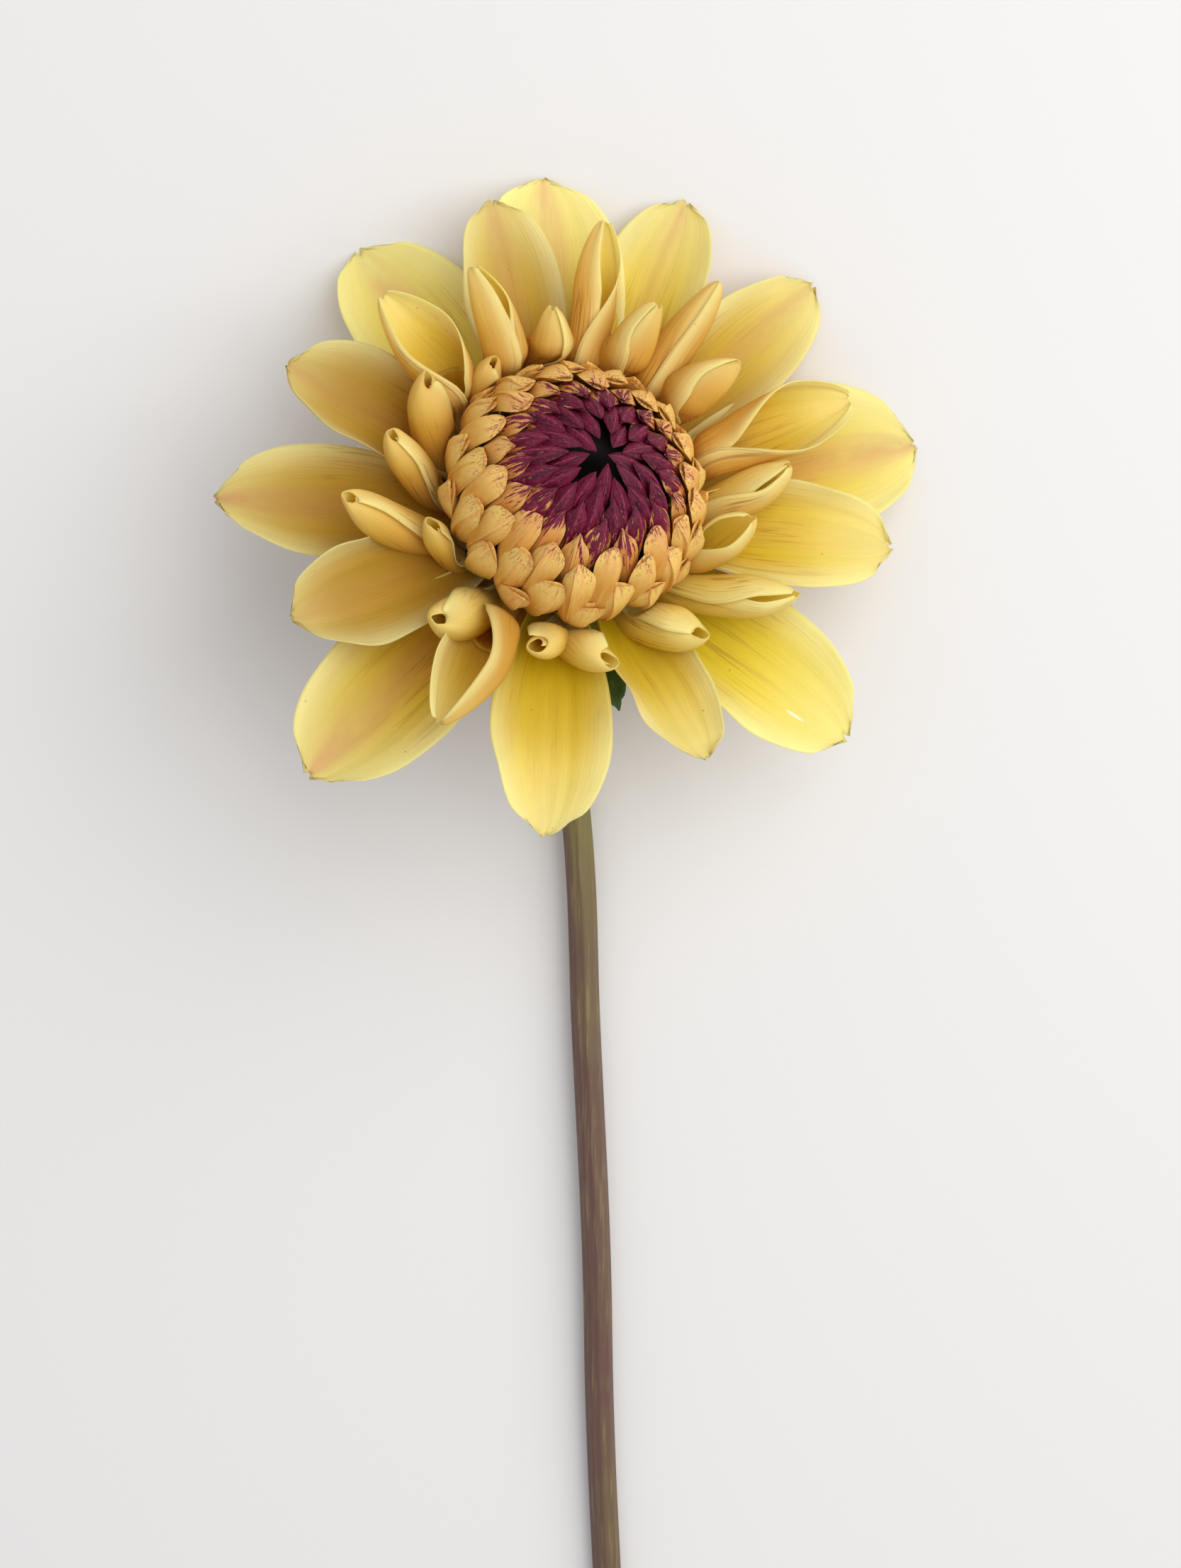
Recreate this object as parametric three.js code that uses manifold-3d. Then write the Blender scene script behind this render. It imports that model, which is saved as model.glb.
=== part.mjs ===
// A cut dahlia flower lying on a table: a long bare stem, two rings of bracts, a half-open bloom of broad and
// rolled petals, and a domed bud of unopened florets with a dark heart.
// Millimetres. The bloom is built in its own frame, +Z out of its face. The plant frame holds bloom and stem,
// and the outer group lays the plant down with Z up from the table.

import * as THREE from "three";
import { mergeVertices } from "three/addons/utils/BufferGeometryUtils.js";
import Module from "manifold-3d";

const wasm = await Module();
wasm.setup();

// Driving dimensions
const THICK = 0.8; // every petal, bract and scale
const LEAST_WIDTH = 0.45; // half the width of a petal's very tip
const CLEAR = 0.3; // between neighbouring pieces
const BLOOM_TILT = 19.2; // degrees between the bloom's axis and the plant's Z
const BLOOM_TOWARD = 45.3; // degrees from the plant's X to the side that the bloom leans to
const REST_PITCH = -9.134; // degrees about X that bring stem end and petal tips down to the table
const REST_ROLL = -0.764; // degrees about Y
const REST_SHIFT = [-1.82, 88.64, 23.21]; // the last one leaves small flat spots where the plant presses down
const TABLE = [160, 320, 20]; // room under the table's top that nothing reaches into

// The bud: florets on an oblate dome, set round it by the golden angle
const DOME_RADIUS = 19.0;
const DOME_HEIGHT = 13.2; // from its widest level to the top
const DOME_LEVEL = 5.2; // height of its widest level above the petals' plane
const DOME_FLOOR = -0.7;
const CORE_SHARE = 0.92; // the core's size over the dome's
const FLORETS = 98;
const HEART_FLORETS = 24; // the innermost ones, dark purple
const FIRST_POLAR = 9; // degrees from the top to the first floret
const LAST_POLAR = 102;
const GOLDEN_ANGLE = 137.50776;
const SOCKET_RADIUS = 13.4; // pocket in the core that the heart sits in
const SOCKET_FLOOR = 6.5;
const SOCKET_NEIGHBOURS = 0.75; // share of the way down to which amber florets can reach the pocket
const HEART_DIMPLE = 3;
const CORE_FOOT = 104; // degrees from the top to where the core turns in below

// One floret: each pair gives the value at the bud's top and what it grows by on the way down
const FLORET_SPACING = [2.8, 3.6];
const FLORET_LENGTH = [8.4, 6.0];
const FLORET_WIDTH = [3.4, 2.8];
const FLORET_DEPTH = [1.6, 0.9];
const FLORET_ROOT_LEAN = [56, 6]; // degrees that the root runs into the dome, off the way uphill
const FLORET_TIP_LEAN = 2;
const FLORET_TIP_LIFT = 1.7;
const FLORET_TIP_SHIFT = 0.28; // uphill, over its length
const AMBER_FORM = { sides: 3, widths: [0.75, 1, 0.94, 0.52] }; // facets round the back, shares of its width
const DARK_FORM = { sides: 2, widths: [0.8, 1, 0.4] };

// What the petals keep clear of: the bud's outline with room round it
const BUD_RADIUS = 21.1;
const BUD_TOP = 15.4;
const BUD_UNDER = 7.9;

// The hub that the petals grow from, and the swelling at the stem's head below it
const HUB_RADIUS = 15;
const HUB_TOP = -1.6;
const HUB_FLOOR = -8.6;
const HUB_EDGE = 1; // bevel of its upper rim; the lower one is twice that
const HEAD_RADIUS = 12.6;
const HEAD_TOP = HUB_FLOOR - CLEAR;
const STEM_RADIUS = 2.4;
const HEAD_PROFILE = [
  [HEAD_RADIUS, HEAD_TOP],
  [HEAD_RADIUS, HEAD_TOP - 2.4],
  [9.4, HEAD_TOP - 4.6],
  [4.6, HEAD_TOP - 7.2],
  [STEM_RADIUS, HEAD_TOP - 9.1],
];
const STEM_SIDES = 10;
const STEM_STEPS = 26;
const ROUND_SIDES = 24; // facets round the hub and the bud's core
const COLLAR_SIDES = 18;
const HEAD_SIDES = 18;

// The stem's centre line in the plant frame, from inside the swelling to the cut end
const STEM_ROUTE = [
  [-3.1, -3.2, -12.6],
  [-4.1, -5.4, -17.6],
  [-4.1, -10.4, -21.9],
  [-3.0, -20, -23.9],
  [-0.4, -36, -26.0],
  [1.6, -53, -28.4],
  [2.8, -83, -33.4],
  [4.6, -123, -40.3],
  [5.2, -151, -45.2],
  [6.4, -179, -50.2],
  [7.6, -200, -53.75],
  [8.2, -222, -57.3],
];

// Section of a petal: how far its margins turn up at root, middle and tip, in degrees, and how tightly they roll
const FORMS = {
  open: { turns: [110, 24, 30], roll: 0.45, widest: 0.58, claw: 0.3, blunt: 2.3 },
  cupped: { turns: [110, 62, 50], roll: 0.45, widest: 0.56, claw: 0.3, blunt: 2.3 },
  scoop: { turns: [60, 115, 70], roll: 0.3, widest: 0.58, claw: 0.24, blunt: 2.6 },
};

// Every petal: azimuth of its tip, reach and height of the tip, width laid flat, and how much its midrib bows
// upward from root to tip (negative arches over). sweep turns the root aside, turn rolls it about its length.
const OUTER = { root: 11, level: -7.4 };
const UPPER = { root: 11.5, level: -6 };
const MIDDLE = { root: 12, level: -4.6 };
const PETALS = [
  { at: 94, reach: 55.5, high: -1, wide: 25, bow: -12, form: "open", ...OUTER },
  { at: 70, reach: 56, high: 2, wide: 18, bow: -10, form: "open", turn: -12, ...UPPER },
  { at: 45, reach: 57, high: 2, wide: 18, bow: -6, form: "open", turn: 14, ...UPPER },
  { at: 16, reach: 62, high: -5, wide: 27, bow: -10, form: "open", ...OUTER },
  { at: -3, reach: 53.4, high: 0, wide: 20, bow: -12, form: "cupped", turns: [110, 44, 30], ...MIDDLE },
  { at: -36, reach: 57.5, high: -4, wide: 23, bow: -8, form: "open", ...OUTER },
  { at: -62, reach: 45.6, high: 3, wide: 16, bow: -8, form: "cupped", ...UPPER },
  { at: -94, reach: 53.7, high: 2, wide: 19.5, bow: -8, form: "open", ...UPPER },
  { at: -119, reach: 44.4, high: 8, wide: 23, bow: 8, form: "scoop", turns: [70, 105, 90], ...UPPER },
  { at: -131, reach: 59.3, high: -4, wide: 23, bow: -6, form: "open", ...OUTER },
  { at: -152, reach: 48.6, high: 4, wide: 19, bow: -6, form: "cupped", skew: -0.3, ...UPPER },
  { at: -177, reach: 54.4, high: -2, wide: 19, bow: -8, form: "open", ...OUTER },
  { at: 158, reach: 48, high: 3, wide: 20, bow: -6, form: "cupped", skew: 0.3, ...UPPER },
  { at: 125, reach: 55.4, high: -13, wide: 23, bow: -14, form: "open", ...OUTER },
  { at: 105, reach: 50.5, high: 3, wide: 17, bow: -8, form: "open", ...UPPER },
  { at: 138, reach: 42.4, high: 7, wide: 20, bow: 4, form: "scoop", sweep: 2, ...MIDDLE },
  { at: 117, reach: 38, high: 10, wide: 18, bow: 4, form: "scoop", turns: [60, 110, 60], ...MIDDLE },
  { at: 85, reach: 44.7, high: 8, wide: 17, bow: -6, form: "scoop", turns: [60, 125, 110], ...MIDDLE },
  { at: 58, reach: 42.2, high: 9, wide: 16, bow: -4, form: "scoop", turns: [60, 125, 110], ...MIDDLE },
  { at: 25, reach: 48.6, high: 6, wide: 19, bow: 4, form: "scoop", turns: [60, 110, 90], ...MIDDLE },
];

// The rolled petals nearest the bud, as closed tubes with a slanting mouth: azimuth of the tip, reach and height
// of the midrib's tip, width across the tube, upward bow of the midrib, and sweep of the root to one side
const QUILL_ROOT = { root: 13, level: -4 };
const QUILLS = [
  { at: 100, reach: 28.8, high: 11, wide: 6.4, bow: 34 },
  { at: 68, reach: 32.7, high: 11, wide: 7.4, bow: 24, sweep: -8 },
  { at: 41, reach: 34, high: 10, wide: 8.4, bow: 16, sweep: -8 },
  { at: 11, reach: 34.8, high: 7, wide: 6.6, bow: 12, sweep: 8 },
  { at: -6, reach: 27.5, high: 9, wide: 7, bow: 32, sweep: 14 },
  { at: -21, reach: 37.9, high: 6, wide: 7.6, bow: 6, sweep: 10 },
  { at: -47, reach: 30, high: 7, wide: 7.2, bow: 28, sweep: 10 },
  { at: -77, reach: 29, high: 6, wide: 7.2, bow: 34, sweep: 8 },
  { at: -105, reach: 27.6, high: 7, wide: 7, bow: 42, sweep: -5 },
  { at: -134, reach: 32, high: 8.5, wide: 7.4, bow: 20, sweep: -4 },
  { at: -160, reach: 25, high: 9, wide: 5.4, bow: 58, sweep: -8 },
  { at: -173, reach: 36.9, high: 10, wide: 6.8, bow: 18, sweep: -5 },
  { at: 169, reach: 30.4, high: 10, wide: 6.2, bow: 34, sweep: -8 },
  { at: 148, reach: 28.8, high: 11, wide: 6, bow: 40, sweep: -8 },
  { at: 127, reach: 24.6, high: 10, wide: 5, bow: 60, sweep: -8 },
];
const QUILL_SIDES = 6;
const QUILL_STATIONS = [0, 0.3, 0.52, 0.74, 1];
const QUILL_WIDTHS = [0.4, 0.6, 0.88, 1, 0.82]; // share of the greatest width at each station
const MOUTH_SLANT = 0.7; // how far back the mouth's open side ends, as a share of the last stretch
const MOUTH_DEPTH = 0.8; // in tube radii
const MOUTH_SHARE = 0.62; // the mouth's width over the tube's
const MOUTH_FLOOR = 0.43; // the width of the mouth's floor over the tube's
const PETAL_ACROSS = 5; // points across a petal
const PETAL_STATIONS = [0, 0.3, 0.55, 0.76, 0.92, 1]; // where its points lie between root and tip

// Two rings of bracts behind the bloom: papery inner ones spread flat, green outer ones bent back
const BRACT_TURNS = [30, 18, 24];
const INNER_BRACT = { root: 13.8, level: -10.6, reach: 27, high: -9.6, wide: 11, bow: 6, turns: BRACT_TURNS };
const OUTER_BRACT = { root: 10.6, level: -13.6, wide: 9, bow: -8, turns: BRACT_TURNS };
const INNER_BRACTS = [12, 57, 102, 147, 192, 237, 282, 327].map((at) => ({ at, ...INNER_BRACT }));
const OUTER_BRACTS = [
  { at: -68, reach: 31, high: -13.4, ...OUTER_BRACT },
  { at: 4, reach: 28, high: -12.6, ...OUTER_BRACT },
  { at: 78, reach: 22.5, high: -11.8, ...OUTER_BRACT },
  { at: 150, reach: 27, high: -13.2, ...OUTER_BRACT },
  { at: 218, reach: 30, high: -14, ...OUTER_BRACT },
];
const BRACT_ACROSS = 3;
const BRACT_STATIONS = [0, 0.35, 0.7, 0.92, 1];
const INNER_COLLAR = [
  [HEAD_RADIUS + CLEAR, -11.2],
  [HEAD_RADIUS + 2, -11.0],
  [HEAD_RADIUS + 2, -9.8],
  [HEAD_RADIUS + CLEAR, -9.6],
];
const OUTER_COLLAR = [
  [10.2, -13.9],
  [11.7, -14.0],
  [12.5, -12.9],
  [11.8, -12.7],
];

// Colour and roughness of every piece
const PETAL = { color: 0xf2d76a, roughness: 0.55 };
const AMBER_FLORET = { color: 0xd99c4a, roughness: 0.55 };
const DARK_FLORET = { color: 0x5a1a3a, roughness: 0.5 };
const PAPERY_BRACT = { color: 0xb8b36a, roughness: 0.7 };
const GREEN_BRACT = { color: 0x5b7a3a, roughness: 0.6 };
const STEM = { color: 0x7a7a4a, roughness: 0.6 };

const rad = THREE.MathUtils.degToRad;
const smooth = THREE.MathUtils.smoothstep;

// A closed solid from the triangles of a geometry
function solidOf(geometry) {
  const bare = geometry.index ? geometry.toNonIndexed() : geometry.clone();
  for (const name of Object.keys(bare.attributes)) {
    if (name !== "position") bare.deleteAttribute(name);
  }
  const merged = mergeVertices(bare, 1e-4);
  const corners = merged.index.array;
  const kept = [];
  for (let i = 0; i < corners.length; i += 3) {
    const [a, b, c] = [corners[i], corners[i + 1], corners[i + 2]];
    if (a !== b && b !== c && c !== a) kept.push(a, b, c);
  }
  const solid = (triVerts) =>
    new wasm.Manifold(
      new wasm.Mesh({ numProp: 3, vertProperties: merged.attributes.position.array, triVerts }),
    );
  const made = solid(new Uint32Array(kept));
  if (made.volume() > 0) return made;
  for (let i = 0; i < kept.length; i += 3) [kept[i + 1], kept[i + 2]] = [kept[i + 2], kept[i + 1]];
  return solid(new Uint32Array(kept));
}

// The largest body of a solid as a geometry
function geometryOf(solid) {
  const bodies = solid.decompose();
  bodies.sort((a, b) => b.volume() - a.volume());
  const mesh = bodies[0].getMesh();
  const points = new Float32Array(mesh.numVert * 3);
  for (let i = 0; i < mesh.numVert; i++) {
    points.set(mesh.vertProperties.subarray(i * mesh.numProp, i * mesh.numProp + 3), i * 3);
  }
  const geometry = new THREE.BufferGeometry();
  geometry.setAttribute("position", new THREE.BufferAttribute(points, 3));
  geometry.setIndex(new THREE.BufferAttribute(mesh.triVerts, 1));
  return geometry;
}

// A solid turned about Z from a profile of [radius, height] points
function turned(profile, sides = ROUND_SIDES) {
  const points = profile.map(([r, z]) => new THREE.Vector2(r, z));
  return solidOf(new THREE.LatheGeometry(points, sides).rotateX(Math.PI / 2));
}

// A closed solid between two matching grids of points, joined round their rims
function slab(upper, lower) {
  const rows = upper.length;
  const columns = upper[0].length;
  const index = (layer, i, j) => layer * rows * columns + i * columns + j;
  const faces = [];
  const quad = (a, b, c, d) => faces.push(a, b, c, a, c, d);
  for (let i = 0; i < rows - 1; i++) {
    for (let j = 0; j < columns - 1; j++) {
      quad(index(0, i, j), index(0, i + 1, j), index(0, i + 1, j + 1), index(0, i, j + 1));
      faces.push(index(1, i, j), index(1, i + 1, j + 1), index(1, i + 1, j));
      faces.push(index(1, i, j), index(1, i, j + 1), index(1, i + 1, j + 1));
    }
    quad(index(0, i + 1, 0), index(0, i, 0), index(1, i, 0), index(1, i + 1, 0));
    const last = columns - 1;
    quad(index(0, i, last), index(0, i + 1, last), index(1, i + 1, last), index(1, i, last));
  }
  for (let j = 0; j < columns - 1; j++) {
    quad(index(0, 0, j), index(0, 0, j + 1), index(1, 0, j + 1), index(1, 0, j));
    const end = rows - 1;
    quad(index(0, end, j + 1), index(0, end, j), index(1, end, j), index(1, end, j + 1));
  }
  const points = [...upper.flat(), ...lower.flat()].flatMap((p) => [p.x, p.y, p.z]);
  const geometry = new THREE.BufferGeometry();
  geometry.setAttribute("position", new THREE.BufferAttribute(new Float32Array(points), 3));
  geometry.setIndex(faces);
  return solidOf(geometry);
}

// Midrib as points at the given stations: its elevation changes by bow, and its ends are root and tip
function midrib(form, stations) {
  const { root, level, reach, high, bow, at, sweep = 0 } = form;
  const hold = bow > 20 ? 0.15 : 0; // a strongly bowed petal runs level under the bud first
  const bend = (t) => rad(bow) * smooth(t, hold, 1 - hold / 2);
  const steps = 40;
  const line = [new THREE.Vector2(0, 0)];
  for (let i = 0; i < steps; i++) {
    const angle = bend((i + 0.5) / steps);
    line.push(new THREE.Vector2(line[i].x + Math.cos(angle), line[i].y + Math.sin(angle)));
  }
  const chord = line[steps].clone();
  const wanted = new THREE.Vector2(reach - root, high - level);
  const turn = wanted.angle() - chord.angle();
  const scale = wanted.length() / chord.length();
  const place = (t) => {
    const i = Math.min(steps - 1, Math.floor(t * steps));
    const flat = line[i].clone().lerp(line[i + 1], t * steps - i);
    flat.rotateAround(new THREE.Vector2(), turn).multiplyScalar(scale);
    const azimuth = rad(at + sweep * (t - 1));
    const radius = root + flat.x;
    return new THREE.Vector3(
      radius * Math.cos(azimuth),
      radius * Math.sin(azimuth),
      level + flat.y,
    );
  };
  const near = 0.02;
  return stations.map((t) => {
    const forward = place(Math.min(1, t + near)).sub(place(Math.max(0, t - near))).normalize();
    const azimuth = rad(at + sweep * (t - 1));
    const level = new THREE.Vector3(-Math.sin(azimuth), Math.cos(azimuth), 0);
    const inward = new THREE.Vector3().crossVectors(forward, level).normalize();
    const aside = new THREE.Vector3().crossVectors(inward, forward);
    return { t, centre: place(t), forward, inward, aside };
  });
}

// Points from the middle of a section to its margin, in steps of equal arc, with the inward normal of each
function section(halfWidth, turnDegrees, roll, count) {
  const leastRadius = 1.15 * THICK;
  const turn = Math.min(rad(turnDegrees), halfWidth / leastRadius);
  const angle = (s) => turn * ((1 - roll) * s + roll * s ** 3);
  const fine = 24;
  const points = [];
  let x = 0;
  let y = 0;
  for (let k = 0; k <= fine; k++) {
    if (k % (fine / count) === 0) points.push({ x, y, angle: angle(k / fine) });
    const middle = angle((k + 0.5) / fine);
    x += (Math.cos(middle) * halfWidth) / fine;
    y += (Math.sin(middle) * halfWidth) / fine;
  }
  return points;
}

// Half width along a petal as a share of its greatest
function outline(t, { widest, claw, blunt }) {
  if (t < widest) return claw + (1 - claw) * smooth(t, 0.04, widest) ** 0.85;
  return Math.max(0, 1 - ((t - widest) / (1 - widest)) ** blunt) ** 0.72;
}

// Moves a point of the bloom out of the room that the bud takes, made larger by spare
function clearOfBud(point, spare = 0) {
  const rise = point.z - DOME_LEVEL;
  const power = rise > 0 ? 2 : 4;
  const depth = (rise > 0 ? BUD_TOP : BUD_UNDER) + spare;
  const out = Math.hypot(point.x, point.y) / (BUD_RADIUS + spare);
  const share = (out ** power + Math.abs(rise / depth) ** power) ** (1 / power);
  if (share >= 1 || share < 0.3) return point;
  return new THREE.Vector3(point.x / share, point.y / share, DOME_LEVEL + rise / share);
}

// One petal or bract as a solid
function blade(petal, across = PETAL_ACROSS, stations = PETAL_STATIONS) {
  const form = { ...FORMS[petal.form ?? "open"], turn: 0, skew: 0, ...petal };
  const half = (across - 1) / 2;
  const [root, mid, tip] = form.turns;
  const surface = midrib(form, stations).map(({ t, centre, forward, inward, aside }) => {
    const twist = rad(form.turn) * smooth(t, 0, 0.7);
    inward.applyAxisAngle(forward, twist);
    aside.applyAxisAngle(forward, twist);
    const width = Math.max(LEAST_WIDTH, (form.wide / 2) * outline(t, form));
    const turn = root + (mid - root) * smooth(t, 0, 0.5) + (tip - mid) * smooth(t, 0.5, 1);
    const row = [];
    for (let j = -half; j <= half; j++) {
      const side = Math.sign(j);
      const points = section(width, turn * (1 + side * form.skew), form.roll, half);
      const { x, y } = points[Math.abs(j)];
      const point = centre.clone().addScaledVector(aside, x * side).addScaledVector(inward, y);
      row.push(clearOfBud(point));
    }
    return row;
  });
  return thickened(surface, THICK / 2);
}

// One rolled petal: rings round a line that hugs the bud, ending in a hollow, slanting mouth
function quill(petal) {
  const radii = QUILL_WIDTHS.map((share) => (petal.wide / 2) * share);
  const line = midrib({ ...QUILL_ROOT, ...petal }, QUILL_STATIONS).map(({ centre, inward }, i) =>
    clearOfBud(centre.addScaledVector(inward, radii[i]), radii[i]),
  );
  const last = line.length - 1;
  const ring = (i, share, back) => {
    const forward = line[Math.min(last, i + 1)].clone().sub(line[Math.max(0, i - 1)]).normalize();
    const level = new THREE.Vector3(-line[i].y, line[i].x, 0).normalize();
    const inward = new THREE.Vector3().crossVectors(forward, level).normalize();
    const aside = new THREE.Vector3().crossVectors(inward, forward);
    const slant = i === last ? MOUTH_SLANT * line[i].distanceTo(line[i - 1]) : 0;
    const points = [];
    for (let j = 0; j < QUILL_SIDES; j++) {
      const angle = (j / QUILL_SIDES) * 2 * Math.PI;
      const point = line[i]
        .clone()
        .addScaledVector(inward, -radii[i] * share * Math.cos(angle))
        .addScaledVector(aside, radii[i] * share * Math.sin(angle))
        .addScaledVector(forward, (slant * (Math.cos(angle) - 1)) / 2 - radii[i] * back);
      points.push(point);
    }
    return points;
  };
  const rings = line.map((_, i) => ring(i, 1, 0));
  rings.push(ring(last, MOUTH_SHARE, 0));
  rings.push(ring(last, MOUTH_FLOOR, MOUTH_DEPTH));
  return prism(rings);
}

// A solid on both sides of a grid of points, moved along the grid's own normals
function thickened(surface, half) {
  const rows = surface.length;
  const columns = surface[0].length;
  const at = (i, j) =>
    surface[THREE.MathUtils.clamp(i, 0, rows - 1)][THREE.MathUtils.clamp(j, 0, columns - 1)];
  const moved = (distance) =>
    surface.map((row, i) =>
      row.map((point, j) => {
        const lengthwise = at(i + 1, j).clone().sub(at(i - 1, j));
        const sidewise = at(i, j + 1).clone().sub(at(i, j - 1));
        const normal = lengthwise.cross(sidewise).normalize();
        return point.clone().addScaledVector(normal, distance);
      }),
    );
  return slab(moved(half), moved(-half));
}

const grown = ([atTop, growth], share) => atTop + growth * share;

// Where each floret of the bud stands: polar angle from the top, azimuth, and its share of the way down
function floretPlaces() {
  const steps = 400;
  const first = rad(FIRST_POLAR);
  const last = rad(LAST_POLAR);
  const sums = [0];
  for (let i = 0; i < steps; i++) {
    const share = (i + 0.5) / steps;
    const polar = first + (last - first) * share;
    const band = Math.hypot(DOME_RADIUS * Math.cos(polar), DOME_HEIGHT * Math.sin(polar));
    sums.push(sums[i] + (DOME_RADIUS * Math.sin(polar) * band) / grown(FLORET_SPACING, share) ** 2);
  }
  const places = [];
  let i = 0;
  for (let k = 0; k < FLORETS; k++) {
    const wanted = (sums[steps] * (k + 0.5)) / FLORETS;
    while (sums[i + 1] < wanted) i++;
    const share = (i + (wanted - sums[i]) / (sums[i + 1] - sums[i])) / steps;
    places.push({ polar: first + (last - first) * share, azimuth: rad(k * GOLDEN_ANGLE), share });
  }
  return places;
}

// One unopened floret: a pointed scale, round outside and flat inside, leaning toward the top of the bud
function floret({ polar, azimuth, share }, { sides, widths }, grow = 0) {
  const along = widths.length;
  const radius = DOME_RADIUS * Math.sin(polar);
  const height = DOME_LEVEL + DOME_HEIGHT * Math.cos(polar);
  const uphill = new THREE.Vector2(-DOME_RADIUS * Math.cos(polar), DOME_HEIGHT * Math.sin(polar));
  uphill.normalize();
  const outward = new THREE.Vector2(uphill.y, -uphill.x);
  const fullLength = grown(FLORET_LENGTH, share);
  const tip = new THREE.Vector2(radius, height)
    .addScaledVector(outward, FLORET_TIP_LIFT)
    .addScaledVector(uphill, fullLength * FLORET_TIP_SHIFT);
  const length = Math.min(fullLength, tip.y - DOME_FLOOR);
  const wide = grown(FLORET_WIDTH, share) / 2;
  const deep = grown(FLORET_DEPTH, share);
  const rootAngle = uphill.angle() - rad(grown(FLORET_ROOT_LEAN, share));
  const tipAngle = uphill.angle() + rad(FLORET_TIP_LEAN);
  const line = [tip];
  for (let i = along - 1; i > 0; i--) {
    const angle = rootAngle + (tipAngle - rootAngle) * ((i - 0.5) / (along - 1));
    const step = length / (along - 1);
    const next = line[0];
    line.unshift(new THREE.Vector2(next.x - step * Math.cos(angle), next.y - step * Math.sin(angle)));
  }
  const rings = line.map((p, i) => {
    const after = line[Math.min(along - 1, i + 1)];
    const before = line[Math.max(0, i - 1)];
    const forward = after.clone().sub(before).normalize();
    const back = new THREE.Vector2(forward.y, -forward.x);
    const ring = [];
    for (let j = 0; j <= sides; j++) {
      const angle = Math.PI * (j / sides);
      const aside = Math.cos(angle) * (wide * widths[i] + grow);
      const out = (Math.sin(angle) - 1) * deep * widths[i] + grow * (2 * Math.sin(angle) - 1);
      const on = grow * ((2 * i) / (along - 1) - 1);
      const r = p.x + back.x * out + forward.x * on;
      const z = p.y + back.y * out + forward.y * on;
      ring.push(
        new THREE.Vector3(
          r * Math.cos(azimuth) - aside * Math.sin(azimuth),
          r * Math.sin(azimuth) + aside * Math.cos(azimuth),
          z,
        ),
      );
    }
    return ring;
  });
  return prism(rings);
}

// A closed solid through rings of points, with fans across its two ends
function prism(rings) {
  const count = rings[0].length;
  const faces = [];
  for (let i = 0; i < rings.length - 1; i++) {
    for (let j = 0; j < count; j++) {
      const [a, b] = [i * count + j, i * count + ((j + 1) % count)];
      faces.push(a, b, b + count, a, b + count, a + count);
    }
  }
  const end = (rings.length - 1) * count;
  for (let j = 1; j < count - 1; j++) {
    faces.push(0, j + 1, j, end, end + j, end + j + 1);
  }
  const points = rings.flat().flatMap((p) => [p.x, p.y, p.z]);
  const geometry = new THREE.BufferGeometry();
  geometry.setAttribute("position", new THREE.BufferAttribute(new Float32Array(points), 3));
  geometry.setIndex(faces);
  return solidOf(geometry);
}

// Profile of the dome's core from one polar angle to another, on a smaller dome
function coreArc(share, fromDegrees, toDegrees, steps) {
  const arc = [];
  for (let i = 0; i <= steps; i++) {
    const polar = rad(fromDegrees + ((toDegrees - fromDegrees) * i) / steps);
    arc.push([
      Math.max(0, DOME_RADIUS * share * Math.sin(polar)),
      DOME_LEVEL + DOME_HEIGHT * share * Math.cos(polar),
    ]);
  }
  return arc;
}

// The bud's core with the pocket for the heart, made larger by grow for clearance
function budCore(grow) {
  const share = CORE_SHARE + grow / DOME_HEIGHT;
  const rim = Math.asin((SOCKET_RADIUS - grow) / (DOME_RADIUS * share));
  return turned([
    [0, DOME_FLOOR - grow],
    [HUB_RADIUS - HUB_EDGE + grow, DOME_FLOOR - grow],
    ...coreArc(share, CORE_FOOT, THREE.MathUtils.radToDeg(rim), 6),
    [SOCKET_RADIUS - grow, SOCKET_FLOOR + grow],
    [0, SOCKET_FLOOR + grow],
  ]);
}

// The plug that the dark florets stand on
function heartCore() {
  const radius = SOCKET_RADIUS - CLEAR;
  const rim = Math.asin(radius / (DOME_RADIUS * CORE_SHARE));
  return turned([
    [0, SOCKET_FLOOR + CLEAR],
    [radius, SOCKET_FLOOR + CLEAR],
    ...coreArc(CORE_SHARE, THREE.MathUtils.radToDeg(rim), FIRST_POLAR, 4),
    [0, DOME_LEVEL + DOME_HEIGHT * CORE_SHARE - HEART_DIMPLE],
  ]);
}

function budFlorets(places) {
  return wasm.Manifold.union([budCore(0), ...places.map((place) => floret(place, AMBER_FORM))]);
}

function heartFlorets(places, outerPlaces) {
  const whole = wasm.Manifold.union([
    heartCore(),
    ...places.map((place) => floret(place, DARK_FORM)),
  ]);
  const kept = outerPlaces.filter(({ share }) => share < SOCKET_NEIGHBOURS);
  const clearance = wasm.Manifold.union([
    budCore(CLEAR),
    ...kept.map((place) => floret(place, AMBER_FORM, CLEAR)),
  ]);
  return whole.subtract(clearance);
}

function rayPetals() {
  const hub = turned([
    [0, HUB_FLOOR],
    [HEAD_RADIUS, HUB_FLOOR],
    [HUB_RADIUS, HUB_FLOOR + 2 * HUB_EDGE],
    [HUB_RADIUS, HUB_TOP - HUB_EDGE],
    [HUB_RADIUS - HUB_EDGE, HUB_TOP],
    [0, HUB_TOP],
  ]);
  return wasm.Manifold.union([hub, ...PETALS.map((petal) => blade(petal)), ...QUILLS.map(quill)]);
}

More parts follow.
